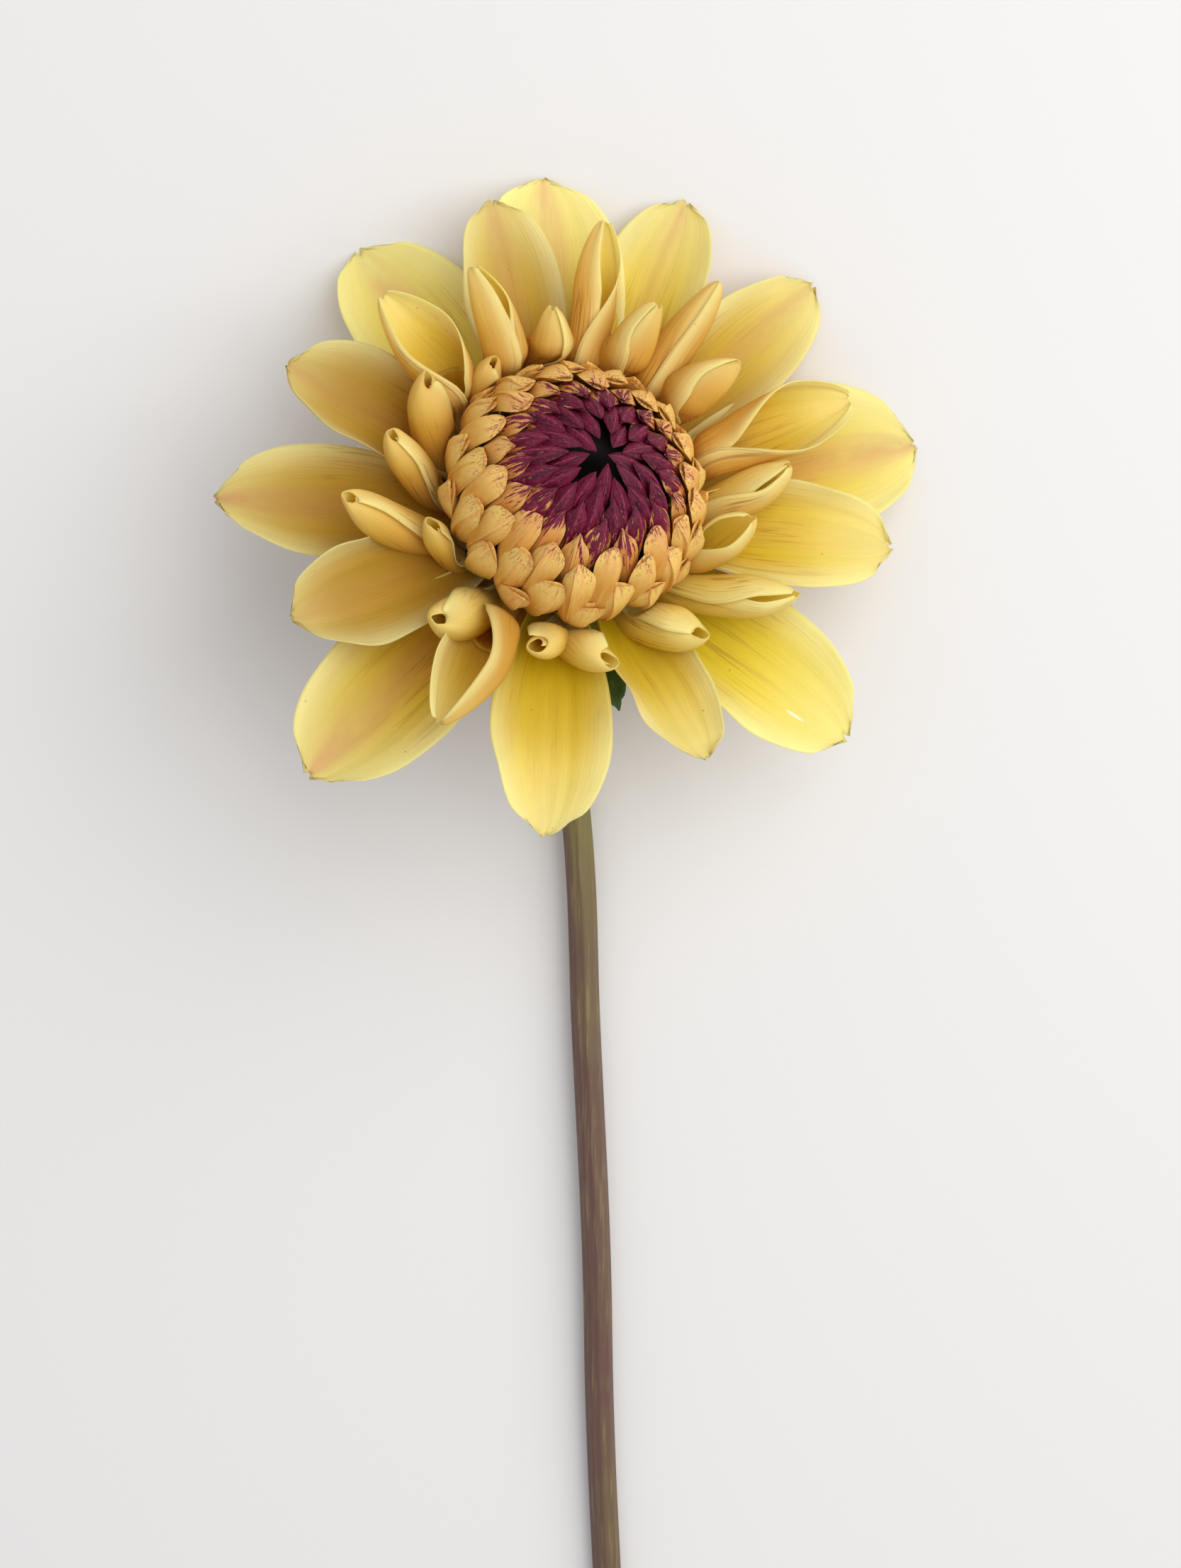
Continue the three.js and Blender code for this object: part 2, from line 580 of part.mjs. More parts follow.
// A collar round the stem's head with bracts spreading from it
function bracts(list, collar) {
  const blades = list.map((bract) => blade(bract, BRACT_ACROSS, BRACT_STATIONS));
  return wasm.Manifold.union([turned([...collar, collar[0]], COLLAR_SIDES), ...blades]);
}

// The swelling under the bloom, in the bloom frame
function stemHead() {
  const [, end] = HEAD_PROFILE.at(-1);
  return turned([[0, HEAD_TOP], ...HEAD_PROFILE, [0, end]], HEAD_SIDES);
}

function stemTube() {
  const path = new THREE.CatmullRomCurve3(STEM_ROUTE.map((p) => new THREE.Vector3(...p)));
  const round = new THREE.Shape().absarc(0, 0, STEM_RADIUS, 0, 2 * Math.PI);
  const settings = { steps: STEM_STEPS, curveSegments: STEM_SIDES / 2, extrudePath: path };
  return solidOf(new THREE.ExtrudeGeometry(round, { ...settings, bevelEnabled: false }));
}

function named(name, solid, finish) {
  const material = new THREE.MeshStandardMaterial({ ...finish, metalness: 0 });
  const mesh = new THREE.Mesh(geometryOf(solid), material);
  mesh.name = name;
  return mesh;
}

// The bloom's place in the plant frame: tilted, with its own X kept nearest the plant's X
function bloomMatrix() {
  const lean = new THREE.Vector3(Math.cos(rad(BLOOM_TOWARD)), Math.sin(rad(BLOOM_TOWARD)), 0);
  const axis = new THREE.Vector3(0, 0, Math.cos(rad(BLOOM_TILT)));
  axis.addScaledVector(lean, Math.sin(rad(BLOOM_TILT)));
  const across = new THREE.Vector3(1, 0, 0).addScaledVector(axis, -axis.x).normalize();
  const up = new THREE.Vector3().crossVectors(axis, across);
  return new THREE.Matrix4().makeBasis(across, up, axis);
}

// The room under the table's top as a solid in a piece's own frame
function underTable(frame) {
  const room = new THREE.BoxGeometry(...TABLE).translate(0, 0, -TABLE[2] / 2);
  return solidOf(room.applyMatrix4(frame.clone().invert()));
}

const places = floretPlaces();
const heartPlaces = places.slice(0, HEART_FLORETS);
const budPlaces = places.slice(HEART_FLORETS);

const plant = new THREE.Group();
plant.rotation.set(rad(REST_PITCH), rad(REST_ROLL), 0);
plant.position.set(...REST_SHIFT);

const bloom = new THREE.Group();
bloom.quaternion.setFromRotationMatrix(bloomMatrix());
plant.add(bloom);
plant.updateMatrixWorld(true);

const restingPetals = rayPetals().subtract(underTable(bloom.matrixWorld));
bloom.add(
  named("ray_petals", restingPetals, PETAL),
  named("bud_florets", budFlorets(budPlaces), AMBER_FLORET),
  named("heart_florets", heartFlorets(heartPlaces, budPlaces), DARK_FLORET),
  named("inner_bracts", bracts(INNER_BRACTS, INNER_COLLAR), PAPERY_BRACT),
  named("outer_bracts", bracts(OUTER_BRACTS, OUTER_COLLAR), GREEN_BRACT),
);

const wholeStem = stemHead().transform(bloom.matrix.toArray()).add(stemTube());
plant.add(named("stem", wholeStem.subtract(underTable(plant.matrixWorld)), STEM));

const dahlia = new THREE.Group();
dahlia.add(plant);

export default dahlia;
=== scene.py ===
"""Looks of a cut dahlia flower that lies on a pale floor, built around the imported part.

Sizes are in millimetres in the bloom's own frame (+Z out of its face) or the plant's frame (the photographed view),
and are placed in metres in the part's frame when a mesh is made. Places along a petal run from 0 at its root to 1 at
its tip, and places across it from -1 to 1.
"""

import logging
import math
from collections.abc import Iterable
from dataclasses import KW_ONLY, dataclass, field
from enum import Enum
from functools import partial

import bmesh
import bpy
import numpy as np
from mathutils import Matrix, Vector


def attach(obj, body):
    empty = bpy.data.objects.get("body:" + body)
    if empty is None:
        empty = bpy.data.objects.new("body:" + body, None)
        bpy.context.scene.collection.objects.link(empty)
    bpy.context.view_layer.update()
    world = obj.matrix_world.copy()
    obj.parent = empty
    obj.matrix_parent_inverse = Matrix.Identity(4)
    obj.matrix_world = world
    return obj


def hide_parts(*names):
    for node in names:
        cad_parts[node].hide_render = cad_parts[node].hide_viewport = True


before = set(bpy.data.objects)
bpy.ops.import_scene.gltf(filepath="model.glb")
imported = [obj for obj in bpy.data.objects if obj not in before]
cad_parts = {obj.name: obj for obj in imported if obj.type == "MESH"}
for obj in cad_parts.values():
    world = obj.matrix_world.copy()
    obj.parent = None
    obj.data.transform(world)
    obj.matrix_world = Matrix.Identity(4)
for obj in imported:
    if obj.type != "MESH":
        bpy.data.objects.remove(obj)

Pair = tuple[float, float]
Triple = tuple[float, float, float]
Array = np.ndarray
Socket, Node, Mesh, Piece, Material = (
    bpy.types.NodeSocket, bpy.types.Node, bpy.types.Mesh, bpy.types.Object, bpy.types.Material
)

LOG = logging.getLogger("dahlia")
MM = 0.001  # metres in a millimetre
TINY = 1e-9  # least length that is divided by
ROOT_BODY = "root"
GOLDEN_ANGLE = math.radians(137.50776)


def smooth(low: float, high: float, value: Array | float) -> Array | float:
    """Smooth step from 0 at low to 1 at high."""
    t = np.clip((value - low) / (high - low), 0.0, 1.0)
    return t * t * (3 - 2 * t)


def unit(vectors: Array) -> Array:
    """Vectors along the last axis at length one."""
    return vectors / np.maximum(np.linalg.norm(vectors, axis=-1, keepdims=True), TINY)


def normals(grid: Array) -> Array:
    """Directions square to a grid of points, rows along and columns across."""
    return unit(np.cross(np.gradient(grid, axis=0), np.gradient(grid, axis=1)))


@dataclass(frozen=True)
class Placement:
    """How the plant lies: from the bloom's frame to the plant's, and from there to the part's."""

    pitch: float = -9.134  # degrees that the plant is turned about X
    roll: float = -0.764  # degrees that it is turned about Y before that
    shift: Triple = (-1.82, 88.64, 23.21)  # its move after both turns
    tilt: float = 19.2  # degrees that the bloom's axis leans from the plant's Z
    toward: float = 45.3  # azimuth of that lean in degrees

    def lying(self) -> Array:
        """Turns from the plant's frame to the part's.

        Returns:
            The rotation, 3 by 3.
        """
        p, r = math.radians(self.pitch), math.radians(self.roll)
        about_x = np.array([[1, 0, 0], [0, math.cos(p), -math.sin(p)], [0, math.sin(p), math.cos(p)]])
        about_y = np.array([[math.cos(r), 0, math.sin(r)], [0, 1, 0], [-math.sin(r), 0, math.cos(r)]])
        return about_x @ about_y

    def facing(self) -> Array:
        """Turns from the bloom's frame to the plant's.

        Returns:
            The rotation, 3 by 3.
        """
        t, w = math.radians(self.tilt), math.radians(self.toward)
        axis = np.array([math.sin(t) * math.cos(w), math.sin(t) * math.sin(w), math.cos(t)])
        across = unit(np.array([1.0, 0, 0]) - axis * axis[0])
        return np.stack([across, np.cross(axis, across), axis], 1)

    def from_plant(self, points: Array) -> Array:
        """Points of the plant's frame, in the part's frame in metres, none under the floor."""
        return np.maximum((points @ self.lying().T + np.array(self.shift)) * MM, (-np.inf, -np.inf, 0.0))

    def from_bloom(self, points: Array) -> Array:
        """Points of the bloom's frame, in the part's frame in metres."""
        return self.from_plant(points @ self.facing().T)

    def matrix_from_bloom(self) -> Matrix:
        """The same move as from_bloom, for a mesh that is in metres already."""
        turn = Matrix((self.lying() @ self.facing()).tolist()).to_4x4()
        return Matrix.Translation(Vector(self.shift) * MM) @ turn


@dataclass(frozen=True)
class BudRoom:
    """The room that the bud takes, which petals keep out of."""

    radius: float = 21.1
    top: float = 15.4  # its height over its widest level
    under: float = 7.9  # its depth under that level
    level: float = 5.2  # height of that level
    dome: float = 2.0  # power of its outline above the level, where it is round
    skirt: float = 4.0  # power of its outline below it, where it is squarer
    heart: float = 0.3  # share of the room round its middle that moves nothing

    def clear(self, points: Array, spare: Array | float = 0.0) -> Array:
        """Moves points out of the room.

        Args:
            points: Points of the bloom's frame, along the last axis.
            spare: Extra room round the bud at each point.

        Returns:
            The points, those inside moved out to its surface.
        """
        rise = points[..., 2] - self.level
        power = np.where(rise > 0, self.dome, self.skirt)
        depth = np.where(rise > 0, self.top, self.under) + spare
        out = np.hypot(points[..., 0], points[..., 1]) / (self.radius + spare)
        share = (out**power + np.abs(rise / depth) ** power) ** (1 / power)
        inside = (share < 1) & (share > self.heart)
        scale = np.where(inside, 1 / np.maximum(share, self.heart), 1.0)
        moved = points * scale[..., None]
        moved[..., 2] = self.level + rise * scale
        return moved


PLACE = Placement()
BUD_ROOM = BudRoom()


@dataclass(frozen=True)
class Outline:
    """Shape of a petal laid flat."""

    widest: float  # where it is widest
    claw: float  # width at the root over the greatest
    blunt: float  # how long it keeps its width towards the tip
    end: float  # width of the very tip over the greatest
    waist: float = 1.35  # how slender it stays over the claw
    nose: float = 0.66  # how round its tip is

    def half_width(self, wide: float, t: Array) -> Array:
        """Measures half of the width.

        Args:
            wide: Greatest width.
            t: Places along the petal.

        Returns:
            Half width at each place.
        """
        low = self.claw + (1 - self.claw) * np.sin(np.clip(t / self.widest, 0, 1) * math.pi / 2) ** self.waist
        beyond = np.clip((t - self.widest) / (1 - self.widest), 0, 1)
        high = self.end + (1 - self.end) * np.clip(1 - beyond**self.blunt, 0, 1) ** self.nose
        return wide / 2 * np.where(t < self.widest, low, high)


class Kind(Enum):
    """How far a petal has opened."""

    OPEN = "open"
    CUPPED = "cupped"
    LEAF = "leaf"


@dataclass(frozen=True)
class Habit:
    """What petals of one kind share."""

    outline: Outline  # shape laid flat
    curl: Triple  # degrees that each margin turns up at root, middle and tip
    roll: float = 0.45  # share of the turn that gathers at the margin


HABITS: dict[Kind, Habit] = {
    Kind.OPEN: Habit(Outline(0.6, 0.5, 2.3, 0.1), (120, 24, 30)),
    Kind.CUPPED: Habit(Outline(0.56, 0.5, 2.3, 0.1), (130, 62, 50)),
    Kind.LEAF: Habit(Outline(0.4, 0.7, 1.5, 0.06), (34, 20, 26)),
}


@dataclass(frozen=True)
class AnyPetal:
    """What open and rolled petals have in common: where one stands, how it bends and what tints it."""

    at: float  # azimuth of the tip in degrees
    reach: float  # distance of the tip from the bloom's axis
    high: float  # height of the tip
    wide: float  # width laid flat
    bow: float  # degrees that it bends up from root to tip; negative arches over
    _: KW_ONLY
    root: Pair = (11.5, -6.0)  # distance and height of its root
    sweep: float = 0.0  # degrees that the root stands aside
    bend: Pair = (0.0, 1.0)  # where it begins and ends to bend
    blush: float = 0.2  # strength of the pink flush along its midrib
    green: float = 0.0  # strength of the chartreuse tint near its root
    warm: float = 0.5  # how far the apricot of its root reaches
    age: float = 0.0  # how dull and dark it is painted: partly its own age, partly painted shade on petals that lie in shade; negative paints it paler, partly painted light
    torn: float = 0.0  # 1 if it has a small tear near its tip


@dataclass(frozen=True)
class OpenPetal(AnyPetal):
    """One open petal."""

    kind: Kind = Kind.OPEN  # how far it has opened
    _: KW_ONLY
    curl: Triple | None = None  # its own curl in place of its kind's
    turn: float = 0.0  # roll about its length in degrees
    skew: float = 0.0  # how much more one margin curls than the other
    crease: Pair = (0.0, 0.6)  # where a lengthwise fold runs across it, and how far the margins rise from it
    notch: float = 0.5  # depth of the notch in its tip


@dataclass(frozen=True)
class RolledPetal(AnyPetal):
    """One petal whose margins roll over each other, into a tube or, where they part, a scoop."""

    gap: Triple = (-60, -55, -40)  # degrees between the margins at root, middle and tip; negative laps over
    seam: Pair = (-30, 25)  # degrees that the meeting line stands aside at the root and at the tip
    over: int = 1  # 1 or -1, the margin that lies outside
    flat: float = 0.85  # depth of its section over its width
    mouth: float = 0.4  # width at the tip over the greatest
    slant: float = 1.0  # how far the mouth is cut back on its inner side
    _: KW_ONLY
    hook: float = 0.0  # how far its nose lifts
    opens: Pair = (0.5, 0.85)  # where its margins begin to part and end parting
    coil: float = 0.24  # how far the inner margin winds in, over the radius
    widest: float = 0.48  # where it is widest
    claw: float = 0.48  # width at the root over the greatest
    blunt: float = 1.8  # how long it keeps its width towards the tip
    straight: bool = False  # whether reach and high set its axis in place of its back
    root: Pair = (13.0, -4.0)
    blush: float = 0.1
    warm: float = 0.7


LOW = (11.0, -7.4)  # distance and height of the roots of the lowest petals
MIDDLE = (12.0, -4.6)  # and of those in the middle
CUPPED = Kind.CUPPED

OPEN_PETALS: tuple[OpenPetal, ...] = (
    OpenPetal(94, 55.5, -1, 25, -12, root=LOW, crease=(0.0, 1.2), notch=0.3, blush=0.8, warm=0.45, age=-0.5),
    OpenPetal(70, 56, 2, 18, -10, turn=-12, crease=(-0.25, 1.6), notch=0.8, blush=0.4, warm=0.65),
    OpenPetal(45, 57, 2, 18, -6, turn=14, crease=(-0.3, 1.4), notch=0.9, blush=0.5, warm=1.0, age=0.1),
    OpenPetal(16, 62, -5, 27, -10, root=LOW, crease=(0.05, 1.0), notch=0.5, blush=0.7, warm=0.3),
    OpenPetal(
        -3, 53.4, 0, 20, -12, CUPPED, root=MIDDLE, curl=(120, 44, 30), skew=0.45, crease=(0.1, 2.0), notch=0.9,
        green=0.6, warm=0.8,
    ),
    OpenPetal(
        -36, 57.5, -4, 23, -8, root=LOW, crease=(0.1, 1.6), notch=1.3, blush=0.0, green=1.0, warm=0.2, torn=1.0,
    ),
    OpenPetal(-62, 45.6, 3, 16, -8, CUPPED, crease=(0.0, 0.8), notch=0.4, blush=0.0, green=1.0, warm=0.8, age=0.25),
    OpenPetal(-94, 53.7, 2, 19.5, -8, crease=(0.0, 0.9), notch=0.6, blush=0.1, green=1.0, warm=0.8, age=0.1),
    OpenPetal(-108, 23.5, -4, 18, 0, CUPPED, root=MIDDLE, curl=(80, 60, 40), notch=0.3, warm=1.0, age=0.4),
    OpenPetal(
        -131, 59.3, -4, 23, -6, root=LOW, crease=(0.1, 1.6), notch=0.9, blush=0.75, green=0.5, warm=0.6, age=0.4,
    ),
    OpenPetal(-152, 48.6, 4, 19, -6, CUPPED, skew=-0.3, crease=(0.1, 0.8), notch=0.4, blush=0.3, warm=1.1, age=1.0),
    OpenPetal(-177, 54.4, -2, 19, -8, root=LOW, crease=(0.0, 1.4), blush=0.8, green=0.3, warm=0.9, age=0.85),
    OpenPetal(158, 48, 3, 20, -6, CUPPED, skew=0.3, crease=(0.1, 1.0), notch=0.4, blush=0.5, warm=1.1, age=0.9),
    OpenPetal(125, 55.4, -13, 23, -14, root=LOW, crease=(0.0, 1.0), notch=1.2, blush=0.8, warm=0.3, age=-0.3),
    OpenPetal(105, 50.5, 3, 17, -8, crease=(-0.1, 1.2), notch=0.8, blush=0.5, warm=0.9, age=0.5),
)

scoop = partial(RolledPetal, root=MIDDLE, warm=0.9)

SCOOPED_PETALS: tuple[RolledPetal, ...] = (
    scoop(-119, 44.4, 8, 23, -2, (-60, 0, 115), (50, 40), 1, 0.8, 0.1, 0.6, root=(13, -6), age=0.3, opens=(0.3, 0.75)),
    scoop(137, 42.4, 7, 22, -4, (-50, -10, 130), (-20, 10), 1, 0.8, 0.1, 0.6, sweep=-4, opens=(0.35, 0.8)),
    scoop(118, 38, 10, 21, -4, (-70, -20, 30), (-30, 30), 1, 0.8, 0.14, 1.0, sweep=4, blush=0.5, warm=0.7),
    scoop(85, 44.7, 8, 19, -6, (-50, -50, 80), (-20, 30), -1, 0.75, 0.1, 0.8, warm=0.8, opens=(0.4, 0.9)),
    scoop(58, 42.2, 9, 19, -4, (-70, -40, -10), (30, 10), -1, 0.7, 0.16, 0.9, blush=0.8),
    scoop(23, 48.6, 6, 22, -6, (-40, -20, 140), (20, 10), -1, 0.75, 0.1, 0.6, opens=(0.35, 0.8)),
)

spear = partial(RolledPetal, root=(14.0, -5.0), bend=(0.0, 0.45), claw=0.4, widest=0.58, straight=True)
slipper = partial(spear, gap=(-60, -60, -60), mouth=0.26, slant=1.4, hook=0.25, blunt=2.4, widest=0.6)
coiled = partial(
    slipper, gap=(-60, -90, -150), opens=(0.3, 0.7), bend=(0.0, 0.5), root=(15.0, -5.0), mouth=0.48, slant=1.2,
    hook=0.2, widest=0.62, coil=0.45,
)

ROLLED_PETALS: tuple[RolledPetal, ...] = (
    RolledPetal(100, 28.8, 11, 23, 28, (-60, -60, -20), (-10, 30), -1, 0.8, 0.1, 1.2, bend=(0.15, 0.92), warm=1.0),
    RolledPetal(68, 32.7, 11, 24, 20, (-60, -60, -10), (20, -30), 1, 0.8, 0.12, 1.0, sweep=-8, warm=1.0),
    RolledPetal(41, 34, 10, 25, 14, (-60, -60, -20), (30, -30), 1, 0.75, 0.16, 1.0, sweep=-8, warm=1.0),
    spear(12, 34.8, 7, 21, 24, (-60, -50, 10), (20, 30), -1, 0.75, 0.1, 0.8, sweep=14, warm=0.5, green=0.3),
    spear(-6, 27.5, 9, 17, 50, (-40, 30, 80), (-10, 20), 1, 0.8, 0.16, 0.8, sweep=22, warm=0.5, blunt=2.4),
    spear(-21, 37.9, 6, 21, 14, (-50, -50, 20), (0, 30), 1, 0.75, 0.14, 0.9, sweep=18, warm=0.3, green=0.7),
    slipper(-47, 30, 7, 25, 40, seam=(-5, 15), flat=0.9, sweep=13, warm=0.3, green=0.5),
    coiled(-77, 28, 6.5, 22, 34, seam=(0, 40), over=-1, flat=0.9, sweep=20, warm=0.4),
    coiled(-105, 26.6, 7.5, 21, 40, seam=(0, -10), flat=0.9, sweep=-18, warm=0.5),
    slipper(-134, 32, 8, 26, 45, seam=(50, 15), flat=0.9, sweep=-10, warm=0.4),
    slipper(-162, 24.6, 9, 16, 70, seam=(-30, -5), over=-1, flat=0.9, mouth=0.44, sweep=-18, warm=0.6),
    slipper(-172, 36.9, 10, 22, 30, seam=(-25, 20), over=-1, sweep=-14, blush=0.4, warm=0.65),
    slipper(169, 30.4, 10, 20.5, 50, seam=(-35, 8), over=-1, sweep=-12, blush=0.3, warm=0.7),
    slipper(148, 28.8, 11, 24, 60, seam=(60, 30), sweep=-20, warm=0.8),
    slipper(126, 23.6, 10, 18, 70, seam=(20, -20), flat=0.9, sweep=-10, warm=1.0),
)


PETAL_MAP = "petal"
TINTS = ("blush", "green", "warm", "age", "torn")
SAME_PLACE = 2e-6  # metres within which two points are one
NO_LENGTH = 1e-7  # metres under which an edge is none


def set_in_scene(name: str, data: bpy.types.ID) -> Piece:
    """Makes an object in the scene.

    Args:
        name: Its name.
        data: Its mesh, curve, light or camera.

    Returns:
        The object.
    """
    piece = bpy.data.objects.new(name, data)
    bpy.context.scene.collection.objects.link(piece)
    return piece


def store(mesh: Mesh, name: str, values: Array, kind: str = "FLOAT", domain: str = "POINT") -> None:
    """Stores values on a mesh for the node trees.

    Args:
        mesh: The mesh.
        name: Name that the trees read.
        values: One value for each point or face.
        kind: FLOAT, INT or FLOAT_VECTOR.
        domain: POINT or FACE.
    """
    data = mesh.attributes.new(name, kind, domain).data
    exact = np.int32 if kind == "INT" else np.float32
    data.foreach_set("vector" if kind == "FLOAT_VECTOR" else "value", values.astype(exact).ravel())


def lay_map(mesh: Mesh, uv: Array) -> None:
    """Gives a mesh its petal map.

    Args:
        mesh: The mesh.
        uv: Place of each point on the petal, across and along.
    """
    corner = np.zeros(len(mesh.loops), np.int32)
    mesh.loops.foreach_get("vertex_index", corner)
    mesh.uv_layers.new(name=PETAL_MAP).data.foreach_set("uv", uv[corner].astype(np.float32).ravel())


def ring_faces(rings: int, sides: int) -> Array:
    """Joins closed rings of points by faces.

    Args:
        rings: How many rings there are.
        sides: How many points each has.

    Returns:
        Four corners for each face.
    """
    cells = np.arange(rings * sides).reshape(rings, sides)
    beside = np.roll(cells, -1, axis=1)
    return np.stack([cells[:-1], beside[:-1], beside[1:], cells[1:]], -1).reshape(-1, 4)


def clean(mesh: Mesh, near: float, outwards: bool = False) -> None:
    """Joins points of a mesh that lie on each other, as at poles and tips.

    Args:
        mesh: The mesh.
        near: Distance within which points are joined.
        outwards: Whether faces are then turned outwards, in place of flat ones being closed.
    """
    work = bmesh.new()
    work.from_mesh(mesh)
    bmesh.ops.remove_doubles(work, verts=work.verts, dist=near)
    if outwards:
        bmesh.ops.recalc_face_normals(work, faces=work.faces)
    else:
        bmesh.ops.dissolve_degenerate(work, edges=work.edges, dist=NO_LENGTH)
    work.to_mesh(mesh)
    work.free()


@dataclass
class Shells:
    """Collects thin closed shells, with their surface values, as one mesh."""

    sides: int = 48  # points round a turned solid
    points: list[Array] = field(default_factory=list)
    faces: list[Array] = field(default_factory=list)  # four corners for each face, counted over all shells
    maps: list[Array] = field(default_factory=list)  # place of each point on its petal
    values: dict[str, list[Array]] = field(default_factory=dict)  # surface values of each point, by name

    def add(self, points: Array, faces: Array, uv: Array, **values: Array | float) -> None:
        """Adds one closed shell, its faces turned outwards.

        Args:
            points: Corner points.
            faces: Four corners for each face.
            uv: Place of each point on the petal, across and along.
            **values: A number, or one for each point, for each surface value.
        """
        a, b, c, d = (points[faces[:, k]] for k in range(4))
        inside_out = (a * np.cross(c, d - b)).sum() < 0
        start = sum(len(part) for part in self.points)
        self.points.append(points)
        self.faces.append((faces[:, ::-1] if inside_out else faces) + start)
        self.maps.append(uv)
        for name, value in values.items():
            self.values.setdefault(name, []).append(np.broadcast_to(value, len(points)))

    def add_sheet(self, grid: Array, half: Array, **values: float) -> None:
        """Adds a grid of points thickened to both sides.

        Args:
            grid: Points as rows along and columns across.
            half: Half of the thickness at each point.
            **values: Surface values.
        """
        rows, columns = grid.shape[:2]
        shift = normals(grid) * half[..., None]
        points = np.concatenate([(grid + shift).reshape(-1, 3), (grid - shift).reshape(-1, 3)])
        back = rows * columns
        cells = np.arange(back).reshape(rows, columns)
        quads = np.stack([cells[:-1, :-1], cells[1:, :-1], cells[1:, 1:], cells[:-1, 1:]], -1).reshape(-1, 4)
        loop = np.concatenate([cells[0, :], cells[1:, -1], cells[-1, -2::-1], cells[-2:0:-1, 0]])
        after = np.roll(loop, -1)
        rim = np.stack([loop, after, after + back, loop + back], -1)
        faces = np.concatenate([quads, quads[:, ::-1] + back, rim])
        across, along = np.meshgrid(np.linspace(0, 1, columns), np.linspace(0, 1, rows))
        uv = np.tile(np.stack([across.ravel(), along.ravel()], 1), (2, 1))
        self.add(points, faces, uv, outside=np.repeat([0.0, 1.0], back), **values)

    def add_turned(self, profile: Iterable[Pair], **values: float) -> None:
        """Adds a closed solid turned about the bloom's axis.

        Args:
            profile: Radius and height, from the axis round to the axis again or from a point back to it.
            **values: Surface values.
        """
        line = np.array(list(profile), float)
        angle = np.linspace(0, 2 * math.pi, self.sides, endpoint=False)
        radius, height = line[:, :1], line[:, 1:]
        points = np.stack([radius * np.cos(angle), radius * np.sin(angle), height + 0 * angle], -1).reshape(-1, 3)
        uv = np.tile([0.5, 0.0], (len(points), 1))
        self.add(points, ring_faces(len(line), self.sides), uv, outside=1.0, **values)

    def build(self, name: str) -> Piece:
        """Makes the mesh object.

        Args:
            name: The piece's name.

        Returns:
            The object, at the origin with its place in its mesh.
        """
        mesh = bpy.data.meshes.new(name)
        points = PLACE.from_bloom(np.concatenate(self.points))
        mesh.from_pydata(points.tolist(), [], np.concatenate(self.faces).tolist())
        lay_map(mesh, np.concatenate(self.maps))
        for key, parts in self.values.items():
            store(mesh, key, np.concatenate(parts))
        clean(mesh, SAME_PLACE)
        mesh.shade_smooth()
        return set_in_scene(name, mesh)


def through(stops: Triple, first: Pair, second: Pair, t: Array) -> Array:
    """A size at places t, taken smoothly from root to middle in the first stretch and on to the tip in the second."""
    root, middle, tip = stops
    return root + (middle - root) * smooth(*first, t) + (tip - middle) * smooth(*second, t)


